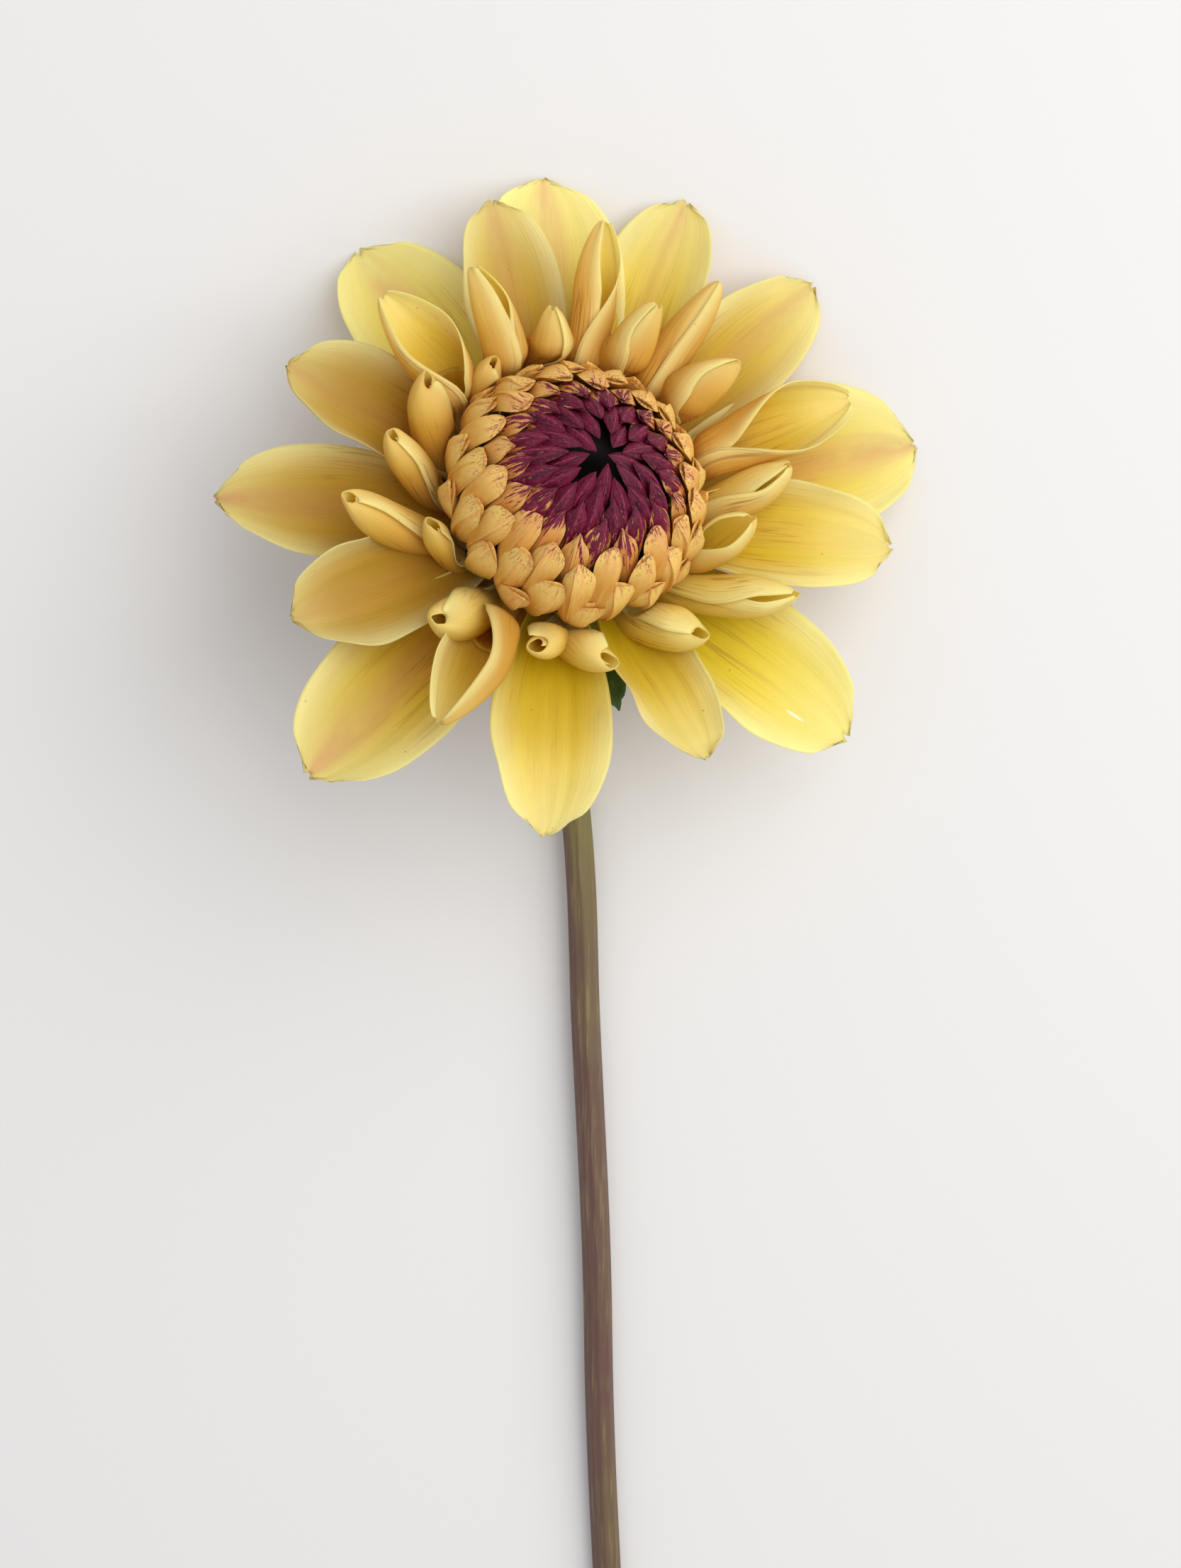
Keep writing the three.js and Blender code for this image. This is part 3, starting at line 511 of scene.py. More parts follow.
@dataclass(frozen=True)
class PetalMaker:
    """What the making of open and rolled petals shares."""

    across: int = 29  # points across a petal
    along: int = 49  # points along it
    thick: float = 0.4  # its thickness in the middle
    at_root: float = 1.4  # thickness at its root over that
    loss: Triple = (0.6, 0.55, 0.6)  # how much of the thickness goes by half way, at the tip and at the margins
    steps: int = 60  # straight lengths that its bent midrib is made of
    seed_step: float = 0.381966  # how far the patterns of two neighbours differ, from 0 to 1

    def midrib(self, petal: AnyPetal, t: Array) -> tuple[Array, Array]:
        """Bends the midrib and sets its ends on root and tip.

        Args:
            petal: Its sizes.
            t: Places along it.

        Returns:
            Its point and its azimuth at each place.
        """
        angle = math.radians(petal.bow) * smooth(*petal.bend, (np.arange(self.steps) + 0.5) / self.steps)
        line = np.zeros((self.steps + 1, 2))
        line[1:] = np.cumsum(np.stack([np.cos(angle), np.sin(angle)], 1), 0)
        start = np.array(petal.root)
        wanted = np.array([petal.reach, petal.high]) - start
        scale = np.hypot(*wanted) / np.hypot(*line[-1])
        turn = math.atan2(wanted[1], wanted[0]) - math.atan2(line[-1, 1], line[-1, 0])
        spin = np.array([[math.cos(turn), -math.sin(turn)], [math.sin(turn), math.cos(turn)]])
        line = line @ spin.T * scale + start
        stations = np.linspace(0, 1, self.steps + 1)
        radius, height = (np.interp(t, stations, side) for side in line.T)
        azimuth = np.radians(petal.at + petal.sweep * (t - 1))
        return np.stack([radius * np.cos(azimuth), radius * np.sin(azimuth), height], 1), azimuth

    def frames(self, line: Array, azimuth: Array) -> tuple[Array, Array, Array]:
        """Finds the directions along a line.

        Args:
            line: Its points.
            azimuth: Azimuth that it has at each point.

        Returns:
            Directions forward, aside and inward at each point.
        """
        forward = unit(np.gradient(line, axis=0))
        level = np.stack([-np.sin(azimuth), np.cos(azimuth), 0 * azimuth], 1)
        inward = unit(np.cross(forward, level))
        return forward, np.cross(inward, forward), inward

    def add(self, shells: Shells, petals: tuple[AnyPetal, ...], first_seed: int) -> None:
        """Adds petals, each thicker at its root and thinner at its margins.

        Args:
            shells: What they are added to.
            petals: Their sizes.
            first_seed: Seed of the first one's waves and pattern.
        """
        u, t = np.linspace(-1, 1, self.across)[None], np.linspace(0, 1, self.along)[:, None]
        thin = (self.at_root - self.loss[0] * smooth(0, 0.5, t)) * (1 - self.loss[1] * smooth(0.88, 1, t))
        half = self.thick / 2 * (1 - self.loss[2] * np.abs(u) ** 5) * thin
        for seed, petal in enumerate(petals, first_seed):
            grid = self.surface(petal, np.random.default_rng(seed))
            tints = {name: getattr(petal, name) for name in TINTS}
            shells.add_sheet(grid, half, seed=(seed * self.seed_step) % 1.0, **tints)

    def surface(self, petal: AnyPetal, draw: np.random.Generator) -> Array:
        """The petal's middle surface as rows along and columns across."""
        raise NotImplementedError


@dataclass(frozen=True)
class OpenPetalMaker(PetalMaker):
    """Makes open and cupped petals."""

    tightest: float = 0.9  # smallest radius that a margin curls to
    crowd: float = 0.92  # power that crowds the rows towards the root
    finer: int = 8  # steps of the section between two columns
    corner: float = 0.9  # how far back the corners of the tip are rounded
    nick: float = 0.28  # half width of the notch, from 0 to 1 across
    ragged: float = 0.12  # how uneven the tip is cut
    fold: Pair = (0.004, 0.45)  # how round the crease is at its bottom, and how far that lies under the surface
    pleat: Pair = (0.22, 0.12)  # depth and half width of the pleat on each side of it

    def section(self, width: Array, turn: Array, roll: float) -> Array:
        """Points of one side of every section.

        Args:
            width: Half width at each row.
            turn: Angle that the margin turns up at each row.
            roll: Share of the turn that gathers at the margin.

        Returns:
            Aside and inward distances, as rows by columns.
        """
        fine = np.linspace(0, 1, self.finer * (self.across // 2) + 1)
        turn = np.minimum(turn, width / self.tightest)
        angle = turn[:, None] * ((1 - roll) * fine + roll * fine**3)
        middle = (angle[:, 1:] + angle[:, :-1]) / 2
        step = (width / (len(fine) - 1))[:, None]
        line = np.zeros((len(width), len(fine), 2))
        line[:, 1:] = np.stack([np.cumsum(np.cos(middle) * step, 1), np.cumsum(np.sin(middle) * step, 1)], -1)
        return line[:, :: self.finer]

    def surface(self, petal: OpenPetal, draw: np.random.Generator) -> Array:
        """Bends, curls, cuts and pleats the petal's middle surface.

        Args:
            petal: Its sizes.
            draw: Source of its random numbers.

        Returns:
            Points as rows along and columns across.
        """
        habit = HABITS[petal.kind]
        u, t = np.linspace(-1, 1, self.across)[None], np.linspace(0, 1, self.along) ** self.crowd
        width = habit.outline.half_width(petal.wide, t)
        curl = np.radians(through(petal.curl or habit.curl, (0, 0.5), (0.5, 1), t))
        line, azimuth = self.midrib(petal, t)
        forward, aside, inward = self.frames(line, azimuth)
        twist = np.radians(petal.turn) * smooth(0, 0.7, t)[:, None]
        aside, inward = (
            aside * np.cos(twist) + inward * np.sin(twist),
            inward * np.cos(twist) - aside * np.sin(twist),
        )
        grid = np.zeros((self.along, self.across, 3))
        half = self.across // 2
        for side in (-1, 1):
            part = self.section(width, curl * (1 + side * petal.skew), habit.roll)
            points = line[:, None] + aside[:, None] * part[..., :1] * side + inward[:, None] * part[..., 1:]
            grid[:, half::side][:, : half + 1] = points
        grid -= forward[:, None] * (self.cut(petal, u, draw) * smooth(0.9, 1, t)[:, None])[..., None]
        return BUD_ROOM.clear(grid + normals(grid) * self.folds(petal, u, t[:, None], draw)[..., None])

    def cut(self, petal: OpenPetal, u: Array, draw: np.random.Generator) -> Array:
        """Rounds the corners of the tip and notches it.

        Args:
            petal: Its sizes.
            u: Places across it.
            draw: Source of its random numbers.

        Returns:
            How far the tip is cut back at each place.
        """
        aside = draw.uniform(-0.25, 0.25)
        back = petal.notch * np.exp(-(((u - aside) / self.nick) ** 2)) + self.corner * np.abs(u) ** 2.5
        return back + self.ragged * np.sin(u * 14 + draw.uniform(0, 6))

    def folds(self, petal: OpenPetal, u: Array, t: Array, draw: np.random.Generator) -> Array:
        """Raises the crease, the pleats beside it and the waves of the margins.

        Args:
            petal: Its sizes.
            u: Places across it, as a row.
            t: Places along it, as a column.
            draw: Source of its random numbers.

        Returns:
            Height over the smooth surface, as rows by columns.
        """
        place, rise = petal.crease
        vee = np.sqrt((u - place) ** 2 + self.fold[0]) - self.fold[1]
        body = smooth(0.08, 0.4, t) * (1 - 0.6 * smooth(0.75, 1, t))
        near = draw.uniform(0.3, 0.4)
        pleats = -self.pleat[0] * np.exp(-(((np.abs(u - place) - near) / self.pleat[1]) ** 2))
        pleats = pleats + 0.1 * np.cos(u * 21 + draw.uniform(0, 6)) * (1 - np.abs(u))
        phase = draw.uniform(0, 6.3, 4)
        margin = 0.5 * np.sin(t * 11 + phase[0] + 1.5 * np.sign(u)) + 0.25 * np.sin(t * 23 + phase[1])
        sway = 0.5 * np.sin(t * 5 + phase[2]) * smooth(0.2, 0.7, t) + 0.4 * u * np.sin(t * 6 + phase[3])
        loose = (np.abs(u) ** 3 * margin + sway) * smooth(0.25, 0.6, t) * (1 - smooth(0.93, 1, t))
        return (rise * vee + pleats) * body + loose


@dataclass(frozen=True)
class RolledPetalMaker(PetalMaker):
    """Makes rolled petals, with one margin wound over the other."""

    across: int = 41
    crowd: float = 1.35  # power that crowds the rows towards the tip
    spare: float = 0.34  # room between one margin and the other
    tightest: float = 0.06  # least share of the radius that the winding gains in half a turn
    loosest: float = 0.24  # greatest such share of a petal that isn't coiled
    ripple: Pair = (0.08, 0.12)  # height of the ripples across it and along it
    ragged: float = 0.25  # how uneven its mouth is cut
    flare: Pair = (0.25, 0.5)  # how far the outer margin stands off a closed tube, and both off an open one

    def surface(self, petal: RolledPetal, draw: np.random.Generator) -> Array:
        """Winds the petal's middle surface round its axis, and cuts its mouth.

        Args:
            petal: Its sizes.
            draw: Source of its random numbers.

        Returns:
            Points as rows along and columns across.
        """
        t = 1 - (1 - np.linspace(0, 1, self.along)) ** self.crowd
        u, rows, phase = np.linspace(-1, 1, self.across)[None], t[:, None], draw.uniform(0, 6, 3)
        width = Outline(petal.widest, petal.claw, petal.blunt, petal.mouth).half_width(petal.wide, t)
        gap = np.radians(through(petal.gap, (0.15, 0.55), petal.opens, t))
        around = 2 * math.pi - gap
        radius = 4 * width / around / (1 + petal.flat)
        line, azimuth = self.midrib(petal, t)
        forward, aside, inward = self.frames(line, azimuth)
        if not petal.straight:
            line = BUD_ROOM.clear(line + inward * (radius * petal.flat)[:, None], radius)
            forward, aside, inward = self.frames(line, np.arctan2(line[:, 1], line[:, 0]))
        seam = np.radians(petal.seam[0] + (petal.seam[1] - petal.seam[0]) * smooth(0.1, 0.9, rows))
        angle = seam + u * around[:, None] / 2
        out = self.winding(petal, u, rows, radius[:, None], gap[:, None])
        wave = self.ripple[0] * np.cos(u * 16 + phase[0]) + self.ripple[1] * np.sin(rows * 9 + u * 3 + phase[1])
        out = out + wave * smooth(0.1, 0.4, rows)
        cut = petal.slant * radius[-1] * (1 - np.cos(angle)) + self.ragged * np.cos(u * 7 + phase[2])
        hook = petal.hook * radius.max() * (1 + np.cos(angle)) / 2 * smooth(0.72, 1, rows) ** 1.5
        moves = (
            (aside, out * np.sin(angle)),
            (inward, out * -np.cos(angle) * petal.flat),
            (forward, -cut * smooth(0.62, 1, rows)),
            (inward, hook),
        )
        return BUD_ROOM.clear(sum((way[:, None] * far[..., None] for way, far in moves), line[:, None]))

    def winding(self, petal: RolledPetal, u: Array, t: Array, radius: Array, gap: Array) -> Array:
        """Winds the outer margin over the inner one, or spreads both where they part.

        Args:
            petal: Its sizes.
            u: Places across it, as a row.
            t: Places along it, as a column.
            radius: Radius at each place along it, as a column.
            gap: Angle between the margins there in radians, as a column.

        Returns:
            Distance from the axis, as rows by columns.
        """
        closed = 1 - smooth(0, 0.6, gap)
        coiled = (petal.coil - self.loosest) * smooth(*petal.opens, t)
        pitch = (np.clip(self.spare / radius, self.tightest, self.loosest) + coiled) * closed
        outer = u * petal.over
        over, apart = self.flare
        off = over * smooth(0.86, 1, outer) * closed + apart * smooth(0.75, 1, np.abs(u)) * (1 - closed)
        return radius * (1 + pitch * outer) + off


@dataclass(frozen=True)
class Shade:
    """A colour written in display values from 0 to 255."""

    red: float
    green: float
    blue: float

    def linear(self) -> tuple[float, float, float, float]:
        """The colour as shaders read it."""
        shares = (((c / 255 + 0.055) / 1.055) ** 2.4 if c > 10 else c / 3295 for c in (self.red, self.green, self.blue))
        return (*shares, 1.0)


class NodeTree:
    """Adds nodes to a tree and links them in one call each."""

    def __init__(self, tree: bpy.types.NodeTree) -> None:
        """Starts on an empty tree."""
        self.tree = tree
        tree.nodes.clear()

    def node(self, kind: str, settings: dict[str, object] | None = None, **sockets: object) -> Node:
        """Adds a node.

        Args:
            kind: Blender's name for the node's type.
            settings: Properties of the node.
            **sockets: Values or links by input name, with _ for a space, or i0, i1 and so on by place.

        Returns:
            The node.
        """
        made = self.tree.nodes.new(kind)
        for key, value in (settings or {}).items():
            setattr(made, key, value)
        for key, value in sockets.items():
            place = int(key[1:]) if key[0] == "i" and key[1:].isdigit() else key.replace("_", " ")
            self.feed(made.inputs[place], value)
        return made

    def feed(self, socket: Socket, value: object) -> None:
        """Links or sets one input.

        Args:
            socket: The input.
            value: A number, a link or a node, which gives its first output.
        """
        if isinstance(value, Node):
            value = value.outputs[0]
        if isinstance(value, Socket):
            self.tree.links.new(value, socket)
        else:
            socket.default_value = value

    def result(self, kind: str, settings: dict[str, object], *values: object) -> Socket:
        """First output of a new node whose inputs are given in order."""
        return self.node(kind, settings, **{f"i{place}": value for place, value in enumerate(values)}).outputs[0]

    def math(self, operation: str, *values: object, clamp: bool = False) -> Socket:
        """A Math node's result."""
        return self.result("ShaderNodeMath", {"operation": operation, "use_clamp": clamp}, *values)

    def product(self, first: object, *others: object) -> Socket:
        """Multiplies numbers one after the other.

        Args:
            first: The first number or link.
            *others: The others.

        Returns:
            Their product.
        """
        for other in others:
            first = self.math("MULTIPLY", first, other)
        return first

    def vector(self, operation: str, *values: object) -> Socket:
        """A Vector Math node's result."""
        return self.result("ShaderNodeVectorMath", {"operation": operation}, *values)

    def scaled(self, vector: object, amount: object) -> Socket:
        """A vector times a number."""
        return self.node("ShaderNodeVectorMath", {"operation": "SCALE"}, i0=vector, Scale=amount).outputs[0]

    def combine(self, *numbers: object) -> Socket:
        """The vector of three numbers."""
        return self.result("ShaderNodeCombineXYZ", {}, *numbers)

    def split(self, vector: object) -> tuple[Socket, ...]:
        """The three numbers of a vector."""
        return tuple(self.node("ShaderNodeSeparateXYZ", Vector=vector).outputs)

    def span(self, value: object, low: float, high: float, to_low: float = 0.0, to_high: float = 1.0) -> Socket:
        """A value taken smoothly from the range low to high, where low may be the greater, to another range."""
        smoothly = {"interpolation_type": "SMOOTHSTEP"}
        return self.result("ShaderNodeMapRange", smoothly, value, low, high, to_low, to_high)


class ShaderTree(NodeTree):
    """A material's tree."""

    def __init__(self, name: str) -> None:
        """Makes a new material with an empty tree.

        Args:
            name: The material's name.
        """
        self.material = bpy.data.materials.new(name)
        self.material.use_nodes = True
        super().__init__(self.material.node_tree)

    def value(self, name: str) -> Socket:
        """A surface value stored on the mesh."""
        return self.node("ShaderNodeAttribute", {"attribute_name": name}).outputs["Fac"]

    def place(self) -> Socket:
        """Place on the object in metres."""
        return self.node("ShaderNodeTexCoord").outputs["Object"]

    def petal_places(self, spread: float) -> tuple[Socket, Socket, Socket]:
        """Reads the petal map.

        Args:
            spread: How far apart the patterns of petals with different seeds are taken.

        Returns:
            Distance from the middle line from 0 to 1, place along from 0 to 1, and the place in the patterns.
        """
        across, along, _ = self.split(self.node("ShaderNodeUVMap", {"uv_map": PETAL_MAP}))
        aside = self.math("ABSOLUTE", self.math("MULTIPLY_ADD", across, 2.0, -1.0))
        return aside, along, self.combine(across, along, self.product(self.value("seed"), spread))

    def layers(self, ground: object, *coats: tuple[object, object]) -> Socket:
        """Lays coats of colour over each other.

        Args:
            ground: The colour under all of them.
            *coats: Share and colour of each, from the lowest up.

        Returns:
            The colour seen.
        """
        for share, coat in coats:
            made = self.node("ShaderNodeMix", {"data_type": "RGBA", "clamp_factor": True}, i0=share)
            for socket, colour in ((made.inputs[6], ground), (made.inputs[7], coat)):
                self.feed(socket, colour.linear() if isinstance(colour, Shade) else colour)
            ground = made.outputs[2]
        return ground

    def noise(
        self, place: object, scale: float, detail: float = 3.0, rough: float = 0.55, stretch: Triple | None = None
    ) -> Socket:
        """Makes a cloudy pattern.

        Args:
            place: Where it is read.
            scale: How fine it is.
            detail: Steps of finer detail in it.
            rough: Strength of that detail.
            stretch: How many times finer it is each way.

        Returns:
            Values from 0 to 1.
        """
        if stretch:
            place = self.vector("MULTIPLY", place, stretch)
        return self.node("ShaderNodeTexNoise", Vector=place, Scale=scale, Detail=detail, Roughness=rough).outputs[0]

    def toned(self, colour: object, value: object, strength: float = 1.0) -> Socket:
        """A colour made lighter or darker, and stronger."""
        return self.node("ShaderNodeHueSaturation", Saturation=strength, Value=value, Color=colour).outputs[0]

    def bump(self, height: object, distance: float, strength: float) -> Socket:
        """A normal bent by a height."""
        return self.node("ShaderNodeBump", Height=height, Distance=distance, Strength=strength).outputs[0]

    def skin(self, colour: object, rough: float, normal: object, **sockets: object) -> Node:
        """A plain surface of a colour, with other sockets of its shader by name."""
        return self.node("ShaderNodeBsdfPrincipled", Base_Color=colour, Roughness=rough, Normal=normal, **sockets)

    def lit_through(self, glow: float, skin: Node, colour: object, normal: object) -> Node:
        """A surface with a share of light that comes through it."""
        through = self.node("ShaderNodeBsdfTranslucent", Color=colour, Normal=normal)
        return self.node("ShaderNodeMixShader", i0=glow, i1=skin, i2=through)

    def finish(self, shader: object) -> Material:
        """Sends a shader to the material's output."""
        self.node("ShaderNodeOutputMaterial", Surface=shader)
        return self.material


@dataclass(frozen=True)
class PetalFinish:
    """Thin, half see-through petal: lemon margins, apricot root, pink flush and fine lengthwise veins, dulled and
    darkened by painted shade on petals that lie in shade.
    """

    name: str = "petal"
    margin: Shade = Shade(254, 250, 180)
    body: Shade = Shade(247, 233, 88)
    root: Shade = Shade(200, 134, 12)
    blush: Shade = Shade(230, 168, 128)
    green: Shade = Shade(220, 200, 2)
    vein: Shade = Shade(176, 118, 40)
    outside: Shade = Shade(234, 180, 74)
    # dull brown laid on by the age value: partly the petal's own age, partly painted shade
    dull_and_shaded: Shade = Shade(196, 142, 44)
    light: Shade = Shade(250, 250, 240)
    tear: Pair = (0.365, 0.79)  # place of the tear across and along
    glow: float = 0.4  # share of light that comes through
    spread: float = 40.0  # how far apart the patterns of two petals are taken

    def make(self) -> Material:
        """Builds the material.

        Returns:
            The material.
        """
        tree = ShaderTree(self.name)
        calc, product, span, noise, stored = tree.math, tree.product, tree.span, tree.noise, tree.value
        aside, along, place = tree.petal_places(self.spread)
        grain = tree.node("ShaderNodeMapping", Vector=place, Scale=(1.0, 0.05, 1.0))
        patchy = noise(place, 1.0, stretch=(3.0, 3.0, 1.0))
        streaks = noise(grain, 26.0, 4.0, 0.6)
        lines = noise(grain, 60.0, 2.0, 0.5)
        age, outer = stored("age"), stored("outside")

        warm_end = calc("MULTIPLY_ADD", stored("warm"), 0.75, 0.12)
        warm = calc("SUBTRACT", 1.0, calc("DIVIDE", along, warm_end), clamp=True)
        warm = calc("ADD", warm, product(calc("SUBTRACT", streaks, 0.5), 0.5), clamp=True)
        flush = product(span(aside, 0.45, 0.0), span(along, 0.1, 0.45), span(patchy, 0.22, 0.52))
        outside = product(outer, span(along, 1.0, 0.35, 0.55, 0.9), span(stored("warm"), 0.0, 0.9, 0.3, 1.0))
        branches = calc("ABSOLUTE", calc("SUBTRACT", noise(grain, 13.0, 1.0, 0.4), 0.5))
        fine = calc("MAXIMUM", span(lines, 0.56, 0.66), span(branches, 0.016, 0.003))
        veined = product(
            span(along, 0.05, 0.25),
            span(along, 0.85, 0.45),
            span(patchy, 0.35, 0.7, 0.05, 0.38),
            span(outer, 0.0, 1.0, 1.0, 2.0),
        )
        # reach of the dull brown, strongest towards the midrib and the root: partly age, partly painted shade
        age_and_shade_reach = product(span(aside, 1.0, 0.3, 0.15, 0.62), span(along, 1.0, 0.7, 0.5, 1.0))
        colour = tree.layers(
            self.body,
            (span(aside, 0.35, 1.0), self.margin),
            (span(along, 0.5, 1.0, 0.0, 0.75), self.margin),
            (product(warm, span(aside, 1.0, 0.55), 0.9), self.root),
            (product(flush, stored("blush"), 0.7), self.blush),
            (product(stored("green"), span(along, 0.75, 0.2), 0.9), self.green),
            (product(outside, span(aside, 1.0, 0.7, 0.35, 1.0)), self.outside),
            (product(fine, veined), self.vein),
            (product(span(along, 0.985, 1.0), span(patchy, 0.45, 0.6, 0.0, 0.2)), self.vein),
            # Negative age values paint the petal paler, partly painted light; positive ones lay on the dull brown,
            # partly its own age and partly painted shade.
            (calc("MULTIPLY", age, -0.6, clamp=True), self.margin),
            (calc("MULTIPLY", age, age_and_shade_reach, clamp=True), self.dull_and_shaded),
            (span(noise(place, 1.0, 0.0, stretch=(24.0, 48.0, 1.0)), 0.87, 0.9, 0.0, 0.6), self.vein),
            (self.torn(tree, place), self.light),
        )
        value = calc("MULTIPLY_ADD", calc("ADD", patchy, streaks), 0.16, 0.86)
        # Positive age values also darken the whole petal a little: partly age, partly painted shade.
        tone = tree.toned(colour, calc("SUBTRACT", value, product(age, 0.1)))
        ridges = calc("ADD", product(streaks, 0.7), product(lines, 0.5))
        normal = tree.bump(ridges, 0.00022, 0.55)
        skin = tree.skin(tone, 0.5, normal, Specular_IOR_Level=0.14)
        return tree.finish(tree.lit_through(self.glow, skin, tree.toned(tone, 1.05, 1.1), normal))

    def torn(self, tree: ShaderTree, place: Socket) -> Socket:
        """Finds the tear.

        Args:
            tree: The material's tree.
            place: Place in the patterns.

        Returns:
            1 in the tear and 0 elsewhere.
        """
        away = tree.vector("MULTIPLY", tree.vector("SUBTRACT", place, (*self.tear, 0.0)), (60.0, 22.0, 0.0))
        length = tree.node("ShaderNodeVectorMath", {"operation": "LENGTH"}, i0=away).outputs[1]
        return tree.product(tree.span(length, 1.0, 0.7), tree.math("GREATER_THAN", tree.value("torn"), 0.5))


@dataclass(frozen=True)
class FloretFinish:
    """Unopened florets: dark purple at the heart with a painted highlight along the keels, amber outside it with purple
    streaks and specks on the tips, green and painted shade at the roots of the lowest.
    """

    name: str
    amber: Shade = Shade(213, 150, 58)
    pale: Shade = Shade(238, 198, 108)
    rust: Shade = Shade(204, 112, 70)
    purple: Shade = Shade(112, 12, 50)
    deep: Shade = Shade(50, 2, 20)
    bloom: Shade = Shade(182, 66, 104)  # pale purple of specks, and along the keels a painted highlight
    # green of the lowest florets' roots: partly their own green, partly painted shade
    green: Shade = Shade(150, 146, 36)
    spread: float = 60.0  # how far apart the patterns of two florets are taken

    def make(self) -> Material:
        """Builds the material.

        Returns:
            The material.
        """
        tree = ShaderTree(self.name)
        calc, product, span, noise, stored = tree.math, tree.product, tree.span, tree.noise, tree.value
        beside, along, place = tree.petal_places(self.spread)
        share = stored("share")
        streaks = noise(place, 2.0, 4.0, 0.65, (5.0, 1.5, 1.0))
        specks = noise(place, 2.4, 5.0, 0.7, (9.0, 7.0, 1.0))
        # The lowest florets turn green towards their roots: partly their own green, partly painted shade where they
        # tuck under their neighbours.
        low = product(span(share, 0.72, 0.9), span(along, 0.66, 0.36), 0.8)
        over = calc("MULTIPLY_ADD", along, 0.5, span(share, 0.05, 0.66, 1.0, 0.0))
        over = calc("ADD", over, calc("MULTIPLY_ADD", streaks, 1.7, -0.85))
        over = calc("SUBTRACT", over, product(span(beside, 0.5, 1.0), 0.16))
        near_top = product(span(along, 0.7, 0.97), span(share, 1.0, 0.55, 0.25, 1.0))
        fleck = product(span(specks, 0.52, 0.6), near_top, 0.85)
        # pale purple along each floret's keel, the ridge of its back: a painted highlight
        keel = product(span(beside, 0.12, 0.0), span(specks, 0.4, 0.6), 0.7)
        dark = tree.layers(
            self.deep,
            (span(streaks, 0.34, 0.62), self.purple),
            (keel, self.bloom),
            (span(specks, 0.53, 0.68, 0.0, 0.6), self.bloom),
        )
        colour = tree.layers(
            self.amber,
            (span(along, 0.45, 0.95), self.pale),
            (span(streaks, 0.4, 0.7, 0.0, 0.5), self.pale),
            (low, self.green),
            (span(over, 0.35, 0.78, 0.0, 0.5), self.rust),
            (calc("MAXIMUM", span(over, 0.76, 0.86), fleck), dark),
        )
        tone = tree.toned(colour, calc("MULTIPLY_ADD", calc("ADD", streaks, specks), 0.2, 0.8))
        soft = {"Subsurface_Weight": 0.06, "Subsurface_Radius": (0.002, 0.001, 0.0004)}
        return tree.finish(tree.skin(tone, 0.5, tree.bump(streaks, 0.0003, 0.4), Specular_IOR_Level=0.3, **soft))


@dataclass(frozen=True)
class LeafyFinish:
    """A matt surface of bracts or core, with a second colour in lengthwise grain."""

    name: str
    first: Shade
    second: Shade
    rough: float = 0.6
    glow: float = 0.0  # share of light that comes through
    grain: Triple = (4.0, 0.4, 4.0)  # how many times finer the grain is each way
    fine: float = 225.0  # how fine the grain is

    def make(self) -> Material:
        """Builds the material.

        Returns:
            The material.
        """
        tree = ShaderTree(self.name)
        place = tree.place()
        grain = tree.noise(place, self.fine, 4.0, 0.6, self.grain)
        patches = tree.noise(place, self.fine / 2)
        colour = tree.layers(self.first, (tree.span(tree.math("ADD", grain, patches), 0.75, 1.25), self.second))
        normal = tree.bump(grain, 0.0003, 0.5)
        skin = tree.skin(colour, self.rough, normal)
        return tree.finish(tree.lit_through(self.glow, skin, colour, normal) if self.glow else skin)


@dataclass(frozen=True)
class StemFinish:
    """Finely ribbed stem: olive green, purple brown on one side and towards the bloom."""

    name: str = "stem"
    olive: Shade = Shade(122, 112, 58)
    brown: Shade = Shade(100, 70, 60)
    light: Shade = Shade(146, 132, 88)
    pith: Shade = Shade(206, 206, 160)

    def make(self) -> Material:
        """Builds the material.

        Returns:
            The material.
        """
        tree = ShaderTree(self.name)
        place = tree.place()
        grain = tree.noise(place, 1500.0, 4.0, 0.6, (1.0, 0.06, 1.0))
        patches = tree.noise(place, 60.0)
        toward_end = tree.span(tree.split(place)[1], 0.07, -0.02)
        brown = tree.math("ADD", toward_end, tree.product(tree.value("turn"), 0.7))
        brown = tree.math("ADD", brown, tree.math("MULTIPLY_ADD", patches, 1.2, -0.8), clamp=True)
        colour = tree.layers(
            self.olive,
            (brown, self.brown),
            (tree.span(grain, 0.5, 0.75, 0.0, 0.5), self.light),
            (tree.value("cut"), self.pith),
        )
        return tree.finish(tree.skin(colour, 0.48, tree.bump(grain, 0.0004, 0.6)))


def dress(piece: Piece, finish: Material, slot: str, *nodes: str) -> None:
    """Gives a piece its finish and its body, and hides the solids that it stands for.

    Args:
        piece: The piece.
        finish: Its material.
        slot: The record's slot; not used.
        *nodes: The solids.
    """
    piece.data.materials.clear()
    piece.data.materials.append(finish)
    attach(piece, ROOT_BODY)
    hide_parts(*nodes)
    LOG.info("%s: %d faces", piece.name, len(piece.data.polygons))


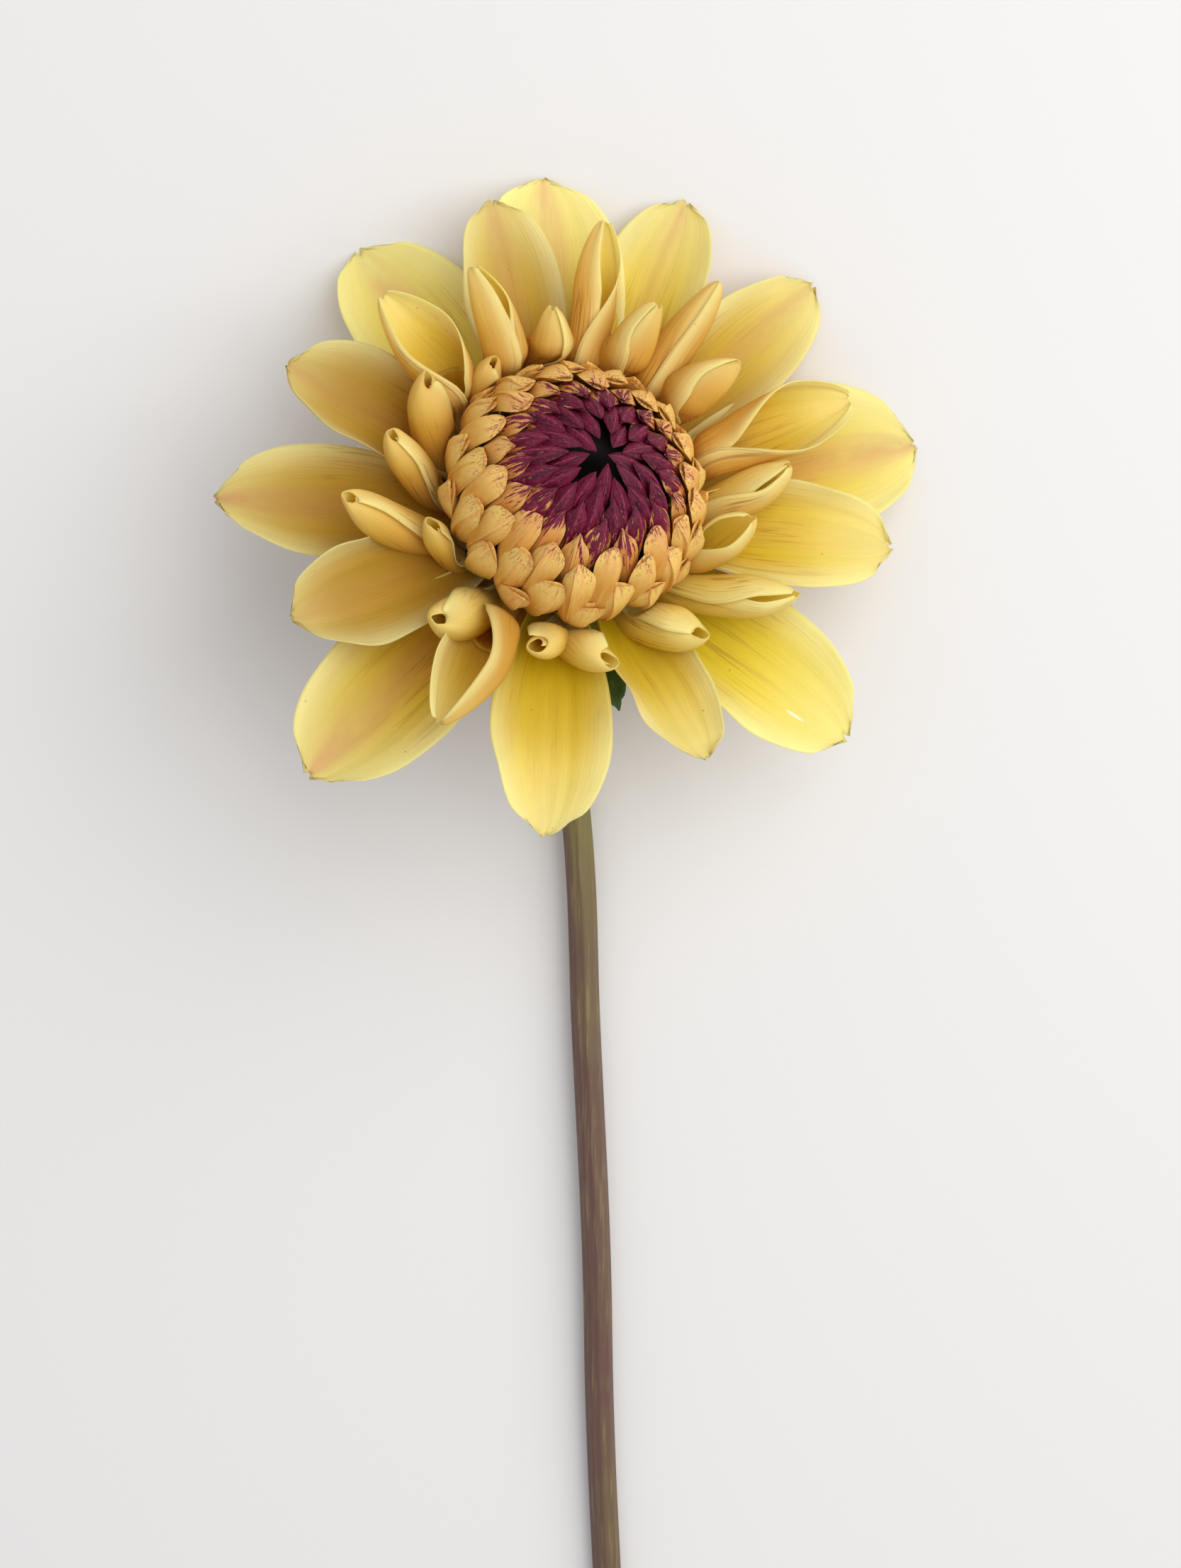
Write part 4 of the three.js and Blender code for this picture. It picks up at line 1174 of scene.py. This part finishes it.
@dataclass
class RayPetals:
    """Every petal that has opened, and the disc that they grow from."""

    disc_radius: float = 14.6
    disc_floor: float = -8.5
    disc_top: float = -2.0
    bevel: float = 1.2

    def disc(self, shells: Shells) -> None:
        """Adds the disc under the bud.

        Args:
            shells: What it is added to.
        """
        radius, floor, top, bevel = self.disc_radius, self.disc_floor, self.disc_top, self.bevel
        rim = [(radius - bevel, floor), (radius, floor + bevel), (radius, top - bevel), (radius - bevel, top)]
        shells.add_turned([(0, floor), *rim, (0, top)], seed=0.5, blush=0.0, green=1.0, warm=0.4, age=0.6, torn=0.0)

    def build(self) -> None:
        """Builds and dresses the three groups."""
        finish = PetalFinish().make()
        open_maker, rolled_maker = OpenPetalMaker(), RolledPetalMaker()
        for name, maker, petals, seed in (
            ("open_petals", open_maker, OPEN_PETALS, 10),
            ("scooped_petals", rolled_maker, SCOOPED_PETALS, 40),
            ("rolled_petals", rolled_maker, ROLLED_PETALS, 70),
        ):
            shells = Shells()
            maker.add(shells, petals, seed)
            if maker is open_maker:
                self.disc(shells)
            dress(shells.build(name), finish, "petal", "ray_petals")


class ShapeTree(NodeTree):
    """A geometry tree with named inputs."""

    def __init__(self, name: str, **inputs: str) -> None:
        """Makes the tree.

        Args:
            name: Its name.
            **inputs: Kind of each input by its name, with _ for a space, beside Geometry and Finish.
        """
        self.group = bpy.data.node_groups.new(name, "GeometryNodeTree")
        face = self.group.interface
        for key, kind in {"Geometry": "Geometry", **inputs, "Finish": "Material"}.items():
            face.new_socket(key.replace("_", " "), in_out="INPUT", socket_type=f"NodeSocket{kind}")
        face.new_socket("Geometry", in_out="OUTPUT", socket_type="NodeSocketGeometry")
        super().__init__(self.group)
        self.inputs = self.node("NodeGroupInput").outputs

    def stored(self, name: str, kind: str = "FLOAT") -> Socket:
        """A value stored on the points."""
        return self.node("GeometryNodeInputNamedAttribute", {"data_type": kind}, Name=name).outputs[0]

    def finish(self, geometry: object) -> bpy.types.NodeTree:
        """Makes instances real, gives them the finish and sends them out.

        Args:
            geometry: What the tree has made.

        Returns:
            The tree.
        """
        real = self.node("GeometryNodeRealizeInstances", Geometry=geometry)
        dressed = self.node("GeometryNodeSetMaterial", Geometry=real, Material=self.inputs["Finish"])
        self.node("NodeGroupOutput", Geometry=dressed)
        return self.group


def grow(name: str, source: Piece, tree: bpy.types.NodeTree, **values: object) -> Piece:
    """Runs a geometry tree and keeps its result as a plain mesh.

    Args:
        name: Name of the piece.
        source: The object that the tree starts from, which it uses up.
        tree: The tree.
        **values: The tree's inputs by name, with _ for a space.

    Returns:
        The piece, without a modifier.
    """
    modifier = source.modifiers.new("shape", "NODES")
    modifier.node_group = tree
    for item in tree.interface.items_tree:
        key = item.name.replace(" ", "_")
        if key in values:
            modifier[item.identifier] = values[key]
    mesh = bpy.data.meshes.new_from_object(source.evaluated_get(bpy.context.evaluated_depsgraph_get()))
    source.modifiers.remove(modifier)
    bpy.data.objects.remove(source)
    mesh.name = name
    return set_in_scene(name, mesh)


@dataclass(frozen=True)
class FloretForm:
    """Shape of one unopened floret, folded along a keel, one unit long and one unit wide."""

    blunt: float  # how long it keeps its width towards the top
    top: float  # width of its top over the greatest
    fold: float  # where its keel ends at the top, from -1 to 1 across
    drop: float  # how far the corners of the top stand below the keel
    lap: float  # how far one flank lies under the other, over its thickness
    deep: float  # thickness of its back
    round: float  # how plump its flanks are, from 1, flat
    lean: Pair  # degrees that it stands off the dome at root and top

    def keel(self, share: float) -> float:
        """Where the keel lies across, at a share of the length."""
        return self.fold * (0.15 + 0.85 * share)


FLORET_FORMS: tuple[FloretForm, ...] = (
    FloretForm(1.25, 0.03, 0.0, 0.0, 0.0, 0.15, 1.2, (40, 6)),
    FloretForm(1.9, 0.24, 0.25, 0.1, 0.15, 0.15, 1.35, (44, 8)),
    FloretForm(1.9, 0.24, -0.25, 0.1, 0.15, 0.15, 1.35, (44, 8)),
    FloretForm(4.6, 0.72, 0.55, 0.1, 0.3, 0.16, 1.8, (48, -4)),
    FloretForm(4.6, 0.72, -0.55, 0.1, 0.3, 0.16, 1.8, (48, -4)),
    FloretForm(5.0, 0.78, 0.2, 0.06, 0.2, 0.16, 1.9, (48, -4)),
)


@dataclass
class Bud:
    """The dome of unopened florets, set by the golden angle."""

    radius: float = 18.3
    height: float = 13.0  # its height over its widest level
    level: float = 5.2  # height of that level
    count: int = 98  # florets in all
    heart: int = 24  # how many of them, from the top, are dark
    polar: Pair = (9.0, 102.0)  # degrees from the top of the first floret and of the last
    spacing: Pair = (2.8, 6.4)  # distance between florets at the top and at the bottom
    flank: int = 5  # points across one flank of a floret
    rows: int = 9  # points along a floret
    top_place: Pair = (0.3, 0.1)  # where a floret's top stands over its place on the dome
    jitter: float = 8.0  # greatest turn of a floret out of line, in degrees
    lean: float = 7.0  # degrees that the bud leans more than the bloom
    toward: float = 45.0  # azimuth of that lean
    seed: int = 7
    middle_from: float = 0.22  # share of the way down where florets of the second form begin
    outer_from: float = 0.46  # share of the way down where the widest begin
    long: Pair = (8.4, 6.0)  # length of a floret at the top, and how much longer one is at the bottom
    wide: Pair = (3.4, 3.2)  # width at the top, and how much wider at the bottom
    vary: tuple[Pair, Pair] = ((0.93, 1.05), (0.94, 1.06))  # least and greatest change of a length and of a width
    hollow: tuple[Triple, ...] = ((0.012, 0.8, 0.6), (0.1, 0.55, 0.25))  # depth, width, thickness of rings in its top
    steps: int = 600  # steps in which the dome is measured
    sharp: float = 48.0  # degrees between faces from which an edge looks sharp
    core: float = 0.8  # size of the core over the dome's
    core_arc: Triple = (104, 14, 16)  # degrees from the top of its lowest and highest ring, and how many it has
    core_foot: tuple[Pair, ...] = ((0.0, -0.7), (13.5, -0.7))
    core_pit: tuple[Pair, ...] = ((2.4, 12.0), (1.4, 9.0), (0.0, 8.4))  # the eye's pit in its top

    def spine(self, form: FloretForm, s: Array) -> tuple[Array, Array]:
        """Bends a floret's middle line in the upright plane.

        Args:
            form: The floret's shape.
            s: Places from root to top.

        Returns:
            The point and the lean at each place.
        """
        bend = np.radians(form.lean[0] + (form.lean[1] - form.lean[0]) * s)
        step = np.stack([np.cos(bend), np.sin(bend)], 1)
        line = np.zeros((len(s), 2))
        line[1:] = np.cumsum((step[1:] + step[:-1]) / 2 * np.diff(s)[:, None], 0)
        return line + np.array(self.top_place) - line[-1], bend

    def section(self, form: FloretForm, share: float) -> tuple[Array, Array]:
        """Outlines a section with a keel on its back, where one flank lies lower, and a hollow inner side.

        Args:
            form: The floret's shape.
            share: Place from root to top.

        Returns:
            Distances across from -1 to 1, and out from -0.5 to 1.
        """
        keel = form.keel(share)
        left, right = np.linspace(-1, keel, self.flank), np.linspace(keel, 1, self.flank)
        inner = np.linspace(1, -1, self.flank + 2)[1:-1]
        high = 1 - ((keel - left) / (1 + keel)) ** form.round
        low = 1 - ((right - keel) / (1 - keel)) ** form.round
        under = 1 - form.lap * smooth(0, 0.4, share)
        high, low = (high * under, low) if form.fold < 0 else (high, under * low)
        return np.concatenate([left, right, inner]), np.concatenate([high, low, -0.5 * np.cos(inner * math.pi / 2)])

    def template(self, name: str, form: FloretForm) -> Piece:
        """Builds one floret: Y towards the bud's top, Z away from it, origin on the dome.

        Args:
            name: Its name, in the order of the choice.
            form: Its shape.

        Returns:
            The object, not in the scene.
        """
        s = np.linspace(0, 1, self.rows) ** 0.8
        line, bend = self.spine(form, s)
        low = 0.6 + 0.4 * np.sin(np.clip(s / 0.5, 0, 1) * math.pi / 2)
        high = np.clip(1 - np.clip((s - 0.5) / 0.5, 0, 1) ** form.blunt, 0, 1) ** 0.8
        width = np.where(s < 0.5, low, form.top + (1 - form.top) * high)
        inward = [(0.0, 1.0, 1.0, k) for k in range(self.rows)] + [(*ring, -1) for ring in self.hollow]
        rings, maps = [], []
        for sunk, narrow, thin, k in inward:
            share, angle = s[k], bend[k]
            across, out = self.section(form, share)
            keel = form.keel(share)
            beside = np.abs(across - keel) / (1 - np.sign(across - keel) * keel)
            deep = form.deep * (0.45 + 0.55 * width[k]) * (1 - 0.6 * smooth(0.7, 1, share)) * thin * out
            along = -form.drop * beside**1.4 * smooth(0.7, 1, share) - sunk
            y = line[k, 0] - deep * math.sin(angle) + along * math.cos(angle)
            z = line[k, 1] + deep * math.cos(angle) + along * math.sin(angle)
            rings.append(np.stack([0.5 * (width[k] * narrow) * across, y, z], 1))
            from_keel = np.where(across > keel, 0.5, -0.5) * beside + 0.5
            maps.append(np.stack([from_keel, np.full(len(across), share)], 1))
        sides = len(rings[0])
        points = np.concatenate(rings).tolist()
        ends = [list(range(sides))[::-1], list(range(len(points) - sides, len(points)))]
        mesh = bpy.data.meshes.new(name)
        mesh.from_pydata(points, [], ring_faces(len(rings), sides).tolist() + ends)
        lay_map(mesh, np.concatenate(maps))
        clean(mesh, NO_LENGTH, outwards=True)
        return bpy.data.objects.new(name, mesh)

    def places(self) -> tuple[Array, Array]:
        """Spaces the florets, closer together at the top.

        Returns:
            Polar angle and share of the way down of each.
        """
        share = np.linspace(0, 1, self.steps)
        polar = np.radians(np.linspace(*self.polar, len(share)))
        band = np.hypot(self.radius * np.cos(polar), self.height * np.sin(polar))
        spacing = self.spacing[0] + (self.spacing[1] - self.spacing[0]) * share
        sums = np.cumsum(self.radius * np.sin(polar) * band / spacing**2)
        wanted = (np.arange(self.count) + 0.5) / self.count * sums[-1]
        return np.interp(wanted, sums, polar), np.interp(wanted, sums, share)

    def seeds(self, first: int, last: int) -> Piece:
        """Makes bare points, one for each floret, with the sizes that the tree reads.

        Args:
            first: Number of the first floret.
            last: Number after the last.

        Returns:
            The object.
        """
        polar, share = (values[first:last] for values in self.places())
        draw = np.random.default_rng(self.seed)
        picks = draw.random(self.count)[first:last]
        middle, outer = 1 + (picks > 0.5), 3 + np.clip(picks * 2.6, 0, 2).astype(int)
        kind = np.where(share < self.middle_from, 0, np.where(share < self.outer_from, middle, outer))
        length = (self.long[0] + self.long[1] * share) * draw.uniform(*self.vary[0], len(share))
        wide = (self.wide[0] + self.wide[1] * share) * draw.uniform(*self.vary[1], len(share))
        mesh = bpy.data.meshes.new("floret_places")
        mesh.from_pydata([(0, 0, 0)] * len(polar), [], [])
        number = np.arange(first, last)
        for key, values in (("polar", polar), ("share", share), ("number", number), ("seed", picks)):
            store(mesh, key, values)
        store(mesh, "kind", kind, "INT")
        store(mesh, "size", np.stack([wide, length, length], 1) * MM, "FLOAT_VECTOR")
        return set_in_scene("floret_places", mesh)

    def tree(self) -> bpy.types.NodeTree:
        """Makes the tree that sets florets on the dome.

        Returns:
            The tree.
        """
        sizes = dict.fromkeys(("Radius", "Height", "Level", "Angle", "Jitter"), "Float")
        tree = ShapeTree("florets_by_golden_angle", **sizes, Seed="Int", Florets="Collection")
        radius, height, jitter = (tree.inputs[name] for name in ("Radius", "Height", "Jitter"))
        polar, azimuth = tree.stored("polar"), tree.product(tree.stored("number"), tree.inputs["Angle"])
        down, up = tree.math("SINE", polar), tree.math("COSINE", polar)
        ahead, left = tree.math("COSINE", azimuth), tree.math("SINE", azimuth)
        climb = tree.product(height, down)
        position, uphill, outward = (
            tree.combine(tree.product(out, ahead), tree.product(out, left), rise)
            for out, rise in (
                (tree.product(radius, down), tree.math("MULTIPLY_ADD", height, up, tree.inputs["Level"])),
                (tree.product(radius, up, -1.0), climb),
                (climb, tree.product(radius, up)),
            )
        )
        axes = {"primary_axis": "Z", "secondary_axis": "Y"}
        turned = tree.node("FunctionNodeAxesToRotation", axes, Primary_Axis=outward, Secondary_Axis=uphill)
        random = tree.node("FunctionNodeRandomValue", {"data_type": "FLOAT_VECTOR"}, Seed=tree.inputs["Seed"])
        for name, way in (("Min", -1.0), ("Max", 1.0)):
            tree.feed(random.inputs[name], tree.scaled((way, way, way), jitter))
        sway = tree.node("FunctionNodeEulerToRotation", Euler=random.outputs["Value"])
        loose = tree.node("FunctionNodeRotateRotation", {"rotation_space": "LOCAL"}, Rotation=turned, Rotate_By=sway)
        choice = {"Collection": tree.inputs["Florets"], "Separate_Children": True, "Reset_Children": True}
        spread = tree.node(
            "GeometryNodeInstanceOnPoints",
            Points=tree.node("GeometryNodeSetPosition", Geometry=tree.inputs["Geometry"], Position=position),
            Instance=tree.node("GeometryNodeCollectionInfo", **choice),
            Pick_Instance=True,
            Instance_Index=tree.stored("kind", "INT"),
            Rotation=loose,
            Scale=tree.stored("size", "FLOAT_VECTOR"),
        )
        return tree.finish(spread)

    def build(self) -> None:
        """Builds the amber florets, the dark ones and the core that they stand on."""
        choice = bpy.data.collections.new("floret_forms")
        for number, form in enumerate(FLORET_FORMS):
            choice.objects.link(self.template(f"floret_{number}", form))
        tree = self.tree()
        sizes = {"Radius": self.radius * MM, "Height": self.height * MM, "Level": self.level * MM}
        for name, first, last, slot, node in (
            ("heart_of_florets", 0, self.heart, "floret_purple", "heart_florets"),
            ("outer_florets", self.heart, self.count, "floret_amber", "bud_florets"),
        ):
            finish = FloretFinish(slot).make()
            given = {"Angle": GOLDEN_ANGLE, "Jitter": math.radians(self.jitter), "Seed": self.seed, "Florets": choice}
            piece = grow(name, self.seeds(first, last), tree, **sizes, **given, Finish=finish)
            piece.data.shade_smooth()
            piece.data.transform(PLACE.matrix_from_bloom() @ self.leaning())
            piece.data.set_sharp_from_angle(angle=math.radians(self.sharp))
            dress(piece, finish, slot, node)
        self.build_core()

    def leaning(self) -> Matrix:
        """Leans the bud a little further than the bloom, about the middle of its widest level.

        Returns:
            The move, in the bloom's frame in metres.
        """
        way = math.radians(self.toward + 90)
        middle = Vector((0, 0, self.level * MM))
        turn = Matrix.Rotation(math.radians(self.lean), 4, Vector((math.cos(way), math.sin(way), 0)))
        return Matrix.Translation(middle) @ turn @ Matrix.Translation(-middle)

    def build_core(self) -> None:
        """Builds the small dome under the florets, with the pit of the eye, near black: painted shade in the gaps
        between florets and in the eye.
        """
        dome = [
            (self.radius * self.core * math.sin(polar), self.level + self.height * self.core * math.cos(polar))
            for polar in np.radians(np.linspace(*self.core_arc))
        ]
        shells = Shells()
        shells.add_turned([*self.core_foot, *dome, *self.core_pit])
        # near black, as painted shade where it shows between the florets and in the eye's pit
        finish = LeafyFinish("bud_core", Shade(5, 1, 3), Shade(15, 4, 6), rough=0.9).make()
        dress(shells.build("bud_core"), finish, "floret_purple", "heart_florets")


@dataclass
class Bracts:
    """The papery inner ring and the green outer ring behind the bloom."""

    maker: OpenPetalMaker = OpenPetalMaker(across=13, along=25, thick=0.5)
    inner: tuple[OpenPetal, ...] = tuple(
        OpenPetal(12 + 45 * k, 27, -9.6, 11, 6, Kind.LEAF, root=(13.8, -10.6), notch=0.0) for k in range(8)
    )
    outer: tuple[OpenPetal, ...] = tuple(
        OpenPetal(at, reach, high, 9, -8, Kind.LEAF, root=(10.6, -13.6), notch=0.0)
        for at, reach, high in ((-68, 31, -13.4), (4, 28, -12.6), (78, 22.5, -11.8), (150, 27, -13.2), (218, 30, -14))
    )
    high_collar: tuple[Pair, ...] = ((12.9, -11.2), (14.6, -11.0), (14.6, -9.8), (12.9, -9.6))
    low_collar: tuple[Pair, ...] = ((10.2, -13.9), (11.7, -14.0), (12.5, -12.9), (11.8, -12.7))

    def build(self) -> None:
        """Builds and dresses each ring on its collar."""
        papery = LeafyFinish("bract_papery", Shade(196, 196, 108), Shade(150, 158, 70), glow=0.25)
        leafy = LeafyFinish("bract_green", Shade(58, 96, 44), Shade(92, 124, 62), glow=0.12)
        for name, bracts, seed, collar, finish, node in (
            ("papery_bracts", self.inner, 120, self.high_collar, papery, "inner_bracts"),
            ("green_bracts", self.outer, 140, self.low_collar, leafy, "outer_bracts"),
        ):
            shells = Shells()
            self.maker.add(shells, bracts, seed)
            shells.add_turned(collar + collar[:1], seed=0.5, **dict.fromkeys(TINTS, 0.0))
            dress(shells.build(name), finish.make(), finish.name, node)


@dataclass
class Stem:
    """The bare stem and its swelling, whose heights and radii are in the bloom's frame."""

    radius: float = 2.4
    head: tuple[Pair, ...] = ((-8.9, 12.2), (-9.4, 12.6), (-11.3, 12.6), (-13.5, 9.4), (-16.1, 4.6))
    route: tuple[Triple, ...] = (  # its middle line from there, in the plant's frame
        (-4.1, -5.4, -17.6),
        (-4.1, -10.4, -21.9),
        (-3.0, -20, -23.9),
        (-0.4, -36, -26.0),
        (1.6, -53, -28.4),
        (2.8, -83, -33.4),
        (4.6, -123, -40.3),
        (5.2, -151, -45.2),
        (6.4, -179, -50.2),
        (7.6, -200, -53.75),
        (8.2, -222, -57.3),
    )
    ribs: float = 9.0
    rib_depth: float = 0.03
    sides: int = 72
    smoothness: int = 14  # points between two knots of its line
    end: float = 1e-3  # length in metres in which faces may be its cut end
    square: float = 0.8  # how squarely they face along it, up to 1

    def centre_line(self) -> Piece:
        """Draws the line from the bloom's back to the cut end.

        Returns:
            A curve with its radius at each knot.
        """
        facing = PLACE.facing()
        line = [facing @ np.array([0, 0, z]) for z, _ in self.head] + [np.array(p) for p in self.route]
        radii = [r for _, r in self.head] + [self.radius] * len(self.route)
        curve = bpy.data.curves.new("stem_line", "CURVE")
        curve.dimensions = "3D"
        spline = curve.splines.new("BEZIER")
        spline.bezier_points.add(len(line) - 1)
        spline.resolution_u = self.smoothness
        for knot, place, radius in zip(spline.bezier_points, PLACE.from_plant(np.array(line)), radii):
            knot.co = place
            knot.radius = radius
            knot.handle_left_type = knot.handle_right_type = "AUTO"
        return set_in_scene("stem_line", curve)

    def tree(self) -> bpy.types.NodeTree:
        """Makes the tree that sweeps a ribbed ring along the centre line.

        Returns:
            The tree.
        """
        tree = ShapeTree("ribbed_stem", Sides="Int", Ribs="Float", Rib_depth="Float")
        ring = tree.node("GeometryNodeCurvePrimitiveCircle", Resolution=tree.inputs["Sides"])
        tree.feed(ring.inputs["Radius"], MM)
        place = tree.node("GeometryNodeInputPosition").outputs[0]
        x, y, _ = tree.split(place)
        wave = tree.math("COSINE", tree.product(tree.math("ARCTAN2", y, x), tree.inputs["Ribs"]))
        ribbed_place = tree.scaled(place, tree.math("MULTIPLY_ADD", wave, tree.inputs["Rib depth"], 1.0))
        ribbed = tree.node("GeometryNodeSetPosition", Geometry=ring, Position=ribbed_place)
        swept = tree.node(
            "GeometryNodeCurveToMesh",
            Curve=tree.inputs["Geometry"],
            Profile_Curve=ribbed,
            Fill_Caps=True,
            Scale=tree.node("GeometryNodeInputRadius"),
        )
        return tree.finish(swept)

    def build(self) -> None:
        """Builds and dresses the stem."""
        finish = StemFinish().make()
        sizes = {"Sides": self.sides, "Ribs": self.ribs, "Rib_depth": self.rib_depth}
        piece = grow("stem_skin", self.centre_line(), self.tree(), **sizes, Finish=finish)
        clean(piece.data, NO_LENGTH, outwards=True)
        self.mark(piece.data)
        piece.data.shade_smooth()
        dress(piece, finish, "stem", "stem")

    def mark(self, mesh: Mesh) -> None:
        """Presses the stem on the floor, and stores which faces are its cut end and which side of it is brown.

        Args:
            mesh: The stem.
        """
        points = np.zeros((len(mesh.vertices), 3), np.float32)
        mesh.vertices.foreach_get("co", points.ravel())
        points[:, 2] = np.maximum(points[:, 2], 0.0)
        mesh.vertices.foreach_set("co", points.ravel())
        near = points[:, 1].min() + self.end
        cut = np.array([face.normal.y < -self.square and face.center.y < near for face in mesh.polygons])
        normal = np.zeros(points.size, np.float32)
        mesh.vertices.foreach_get("normal", normal)
        store(mesh, "cut", cut, domain="FACE")
        store(mesh, "turn", np.clip(-normal[::3], 0, 1))


@dataclass
class Studio:
    """The pale floor, the soft lights and the camera at the photographed angle."""

    camera_place: Triple = (3.63, -43.34, 420.0)  # where the camera stands in the plant's frame
    lens: float = 62.14  # millimetres, as the next
    sensor: float = 36.0
    floor_half: float = 3.0  # half width of the floor in metres
    floor_drop: float = 1e-4  # how far the floor lies under the part, in metres
    floor_colour: Triple = (0.82, 0.81, 0.8)
    air_colour: Triple = (0.96, 0.97, 1.0)
    air_strength: float = 0.5
    target: Triple = (0.0, 0.09, 0.03)  # what the lights look at, in metres

    def floor(self) -> None:
        """Lays a wide pale floor just under the part."""
        size = self.floor_half
        mesh = bpy.data.meshes.new("floor")
        corners = [(x, y, -self.floor_drop) for x, y in ((-size, -size), (size, -size), (size, size), (-size, size))]
        mesh.from_pydata(corners, [], [(0, 1, 2, 3)])
        tree = ShaderTree("floor")
        skin = tree.node("ShaderNodeBsdfPrincipled", Base_Color=(*self.floor_colour, 1.0), Roughness=0.9)
        mesh.materials.append(tree.finish(skin))
        floor = set_in_scene("floor", mesh)

    def lights(self) -> None:
        """Hangs soft square lights that look at the bloom: name, place from it, watts, side and colour."""
        for name, place, power, size, colour in (
            ("window", (0.5, 0.28, 0.64), 7.6, 1.1, (1.0, 0.985, 0.96)),
            ("fill", (-0.3, -0.2, 1.2), 2.4, 1.6, (0.97, 0.98, 1.0)),
        ):
            data = bpy.data.lights.new(name, "AREA")
            data.energy, data.size, data.color = power, size, colour
            lamp = set_in_scene(name, data)
            lamp.location = Vector(self.target) + Vector(place)
            lamp.rotation_euler = Vector(place).to_track_quat("Z", "Y").to_euler()

    def camera(self) -> None:
        """Sets up the camera, square on to the plant's own view."""
        data = bpy.data.cameras.new("camera")
        data.lens, data.sensor_width, data.clip_start = self.lens, self.sensor, 0.01
        camera = set_in_scene("camera", data)
        place = PLACE.lying() @ np.array(self.camera_place) + np.array(PLACE.shift)
        camera.matrix_world = Matrix.Translation(Vector(place) * MM) @ Matrix(PLACE.lying().tolist()).to_4x4()
        bpy.context.scene.camera = camera
        bpy.context.scene.view_settings.view_transform = "Standard"

    def world(self) -> None:
        """Gives even pale light from all round."""
        world = bpy.data.worlds.new("studio")
        bpy.context.scene.world = world
        world.use_nodes = True
        colour, strength, *_ = world.node_tree.nodes["Background"].inputs
        colour.default_value = (*self.air_colour, 1.0)
        strength.default_value = self.air_strength

    def build(self) -> None:
        """Sets the stage."""
        self.camera()
        self.world()
        self.floor()
        self.lights()


def main() -> None:
    """Builds the stage and every piece."""
    logging.basicConfig(level=logging.INFO, format="%(name)s %(message)s")
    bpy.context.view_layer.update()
    Studio().build()
    for part in (RayPetals(), Bud(), Bracts(), Stem()):
        part.build()


if __name__ == "__main__":
    main()
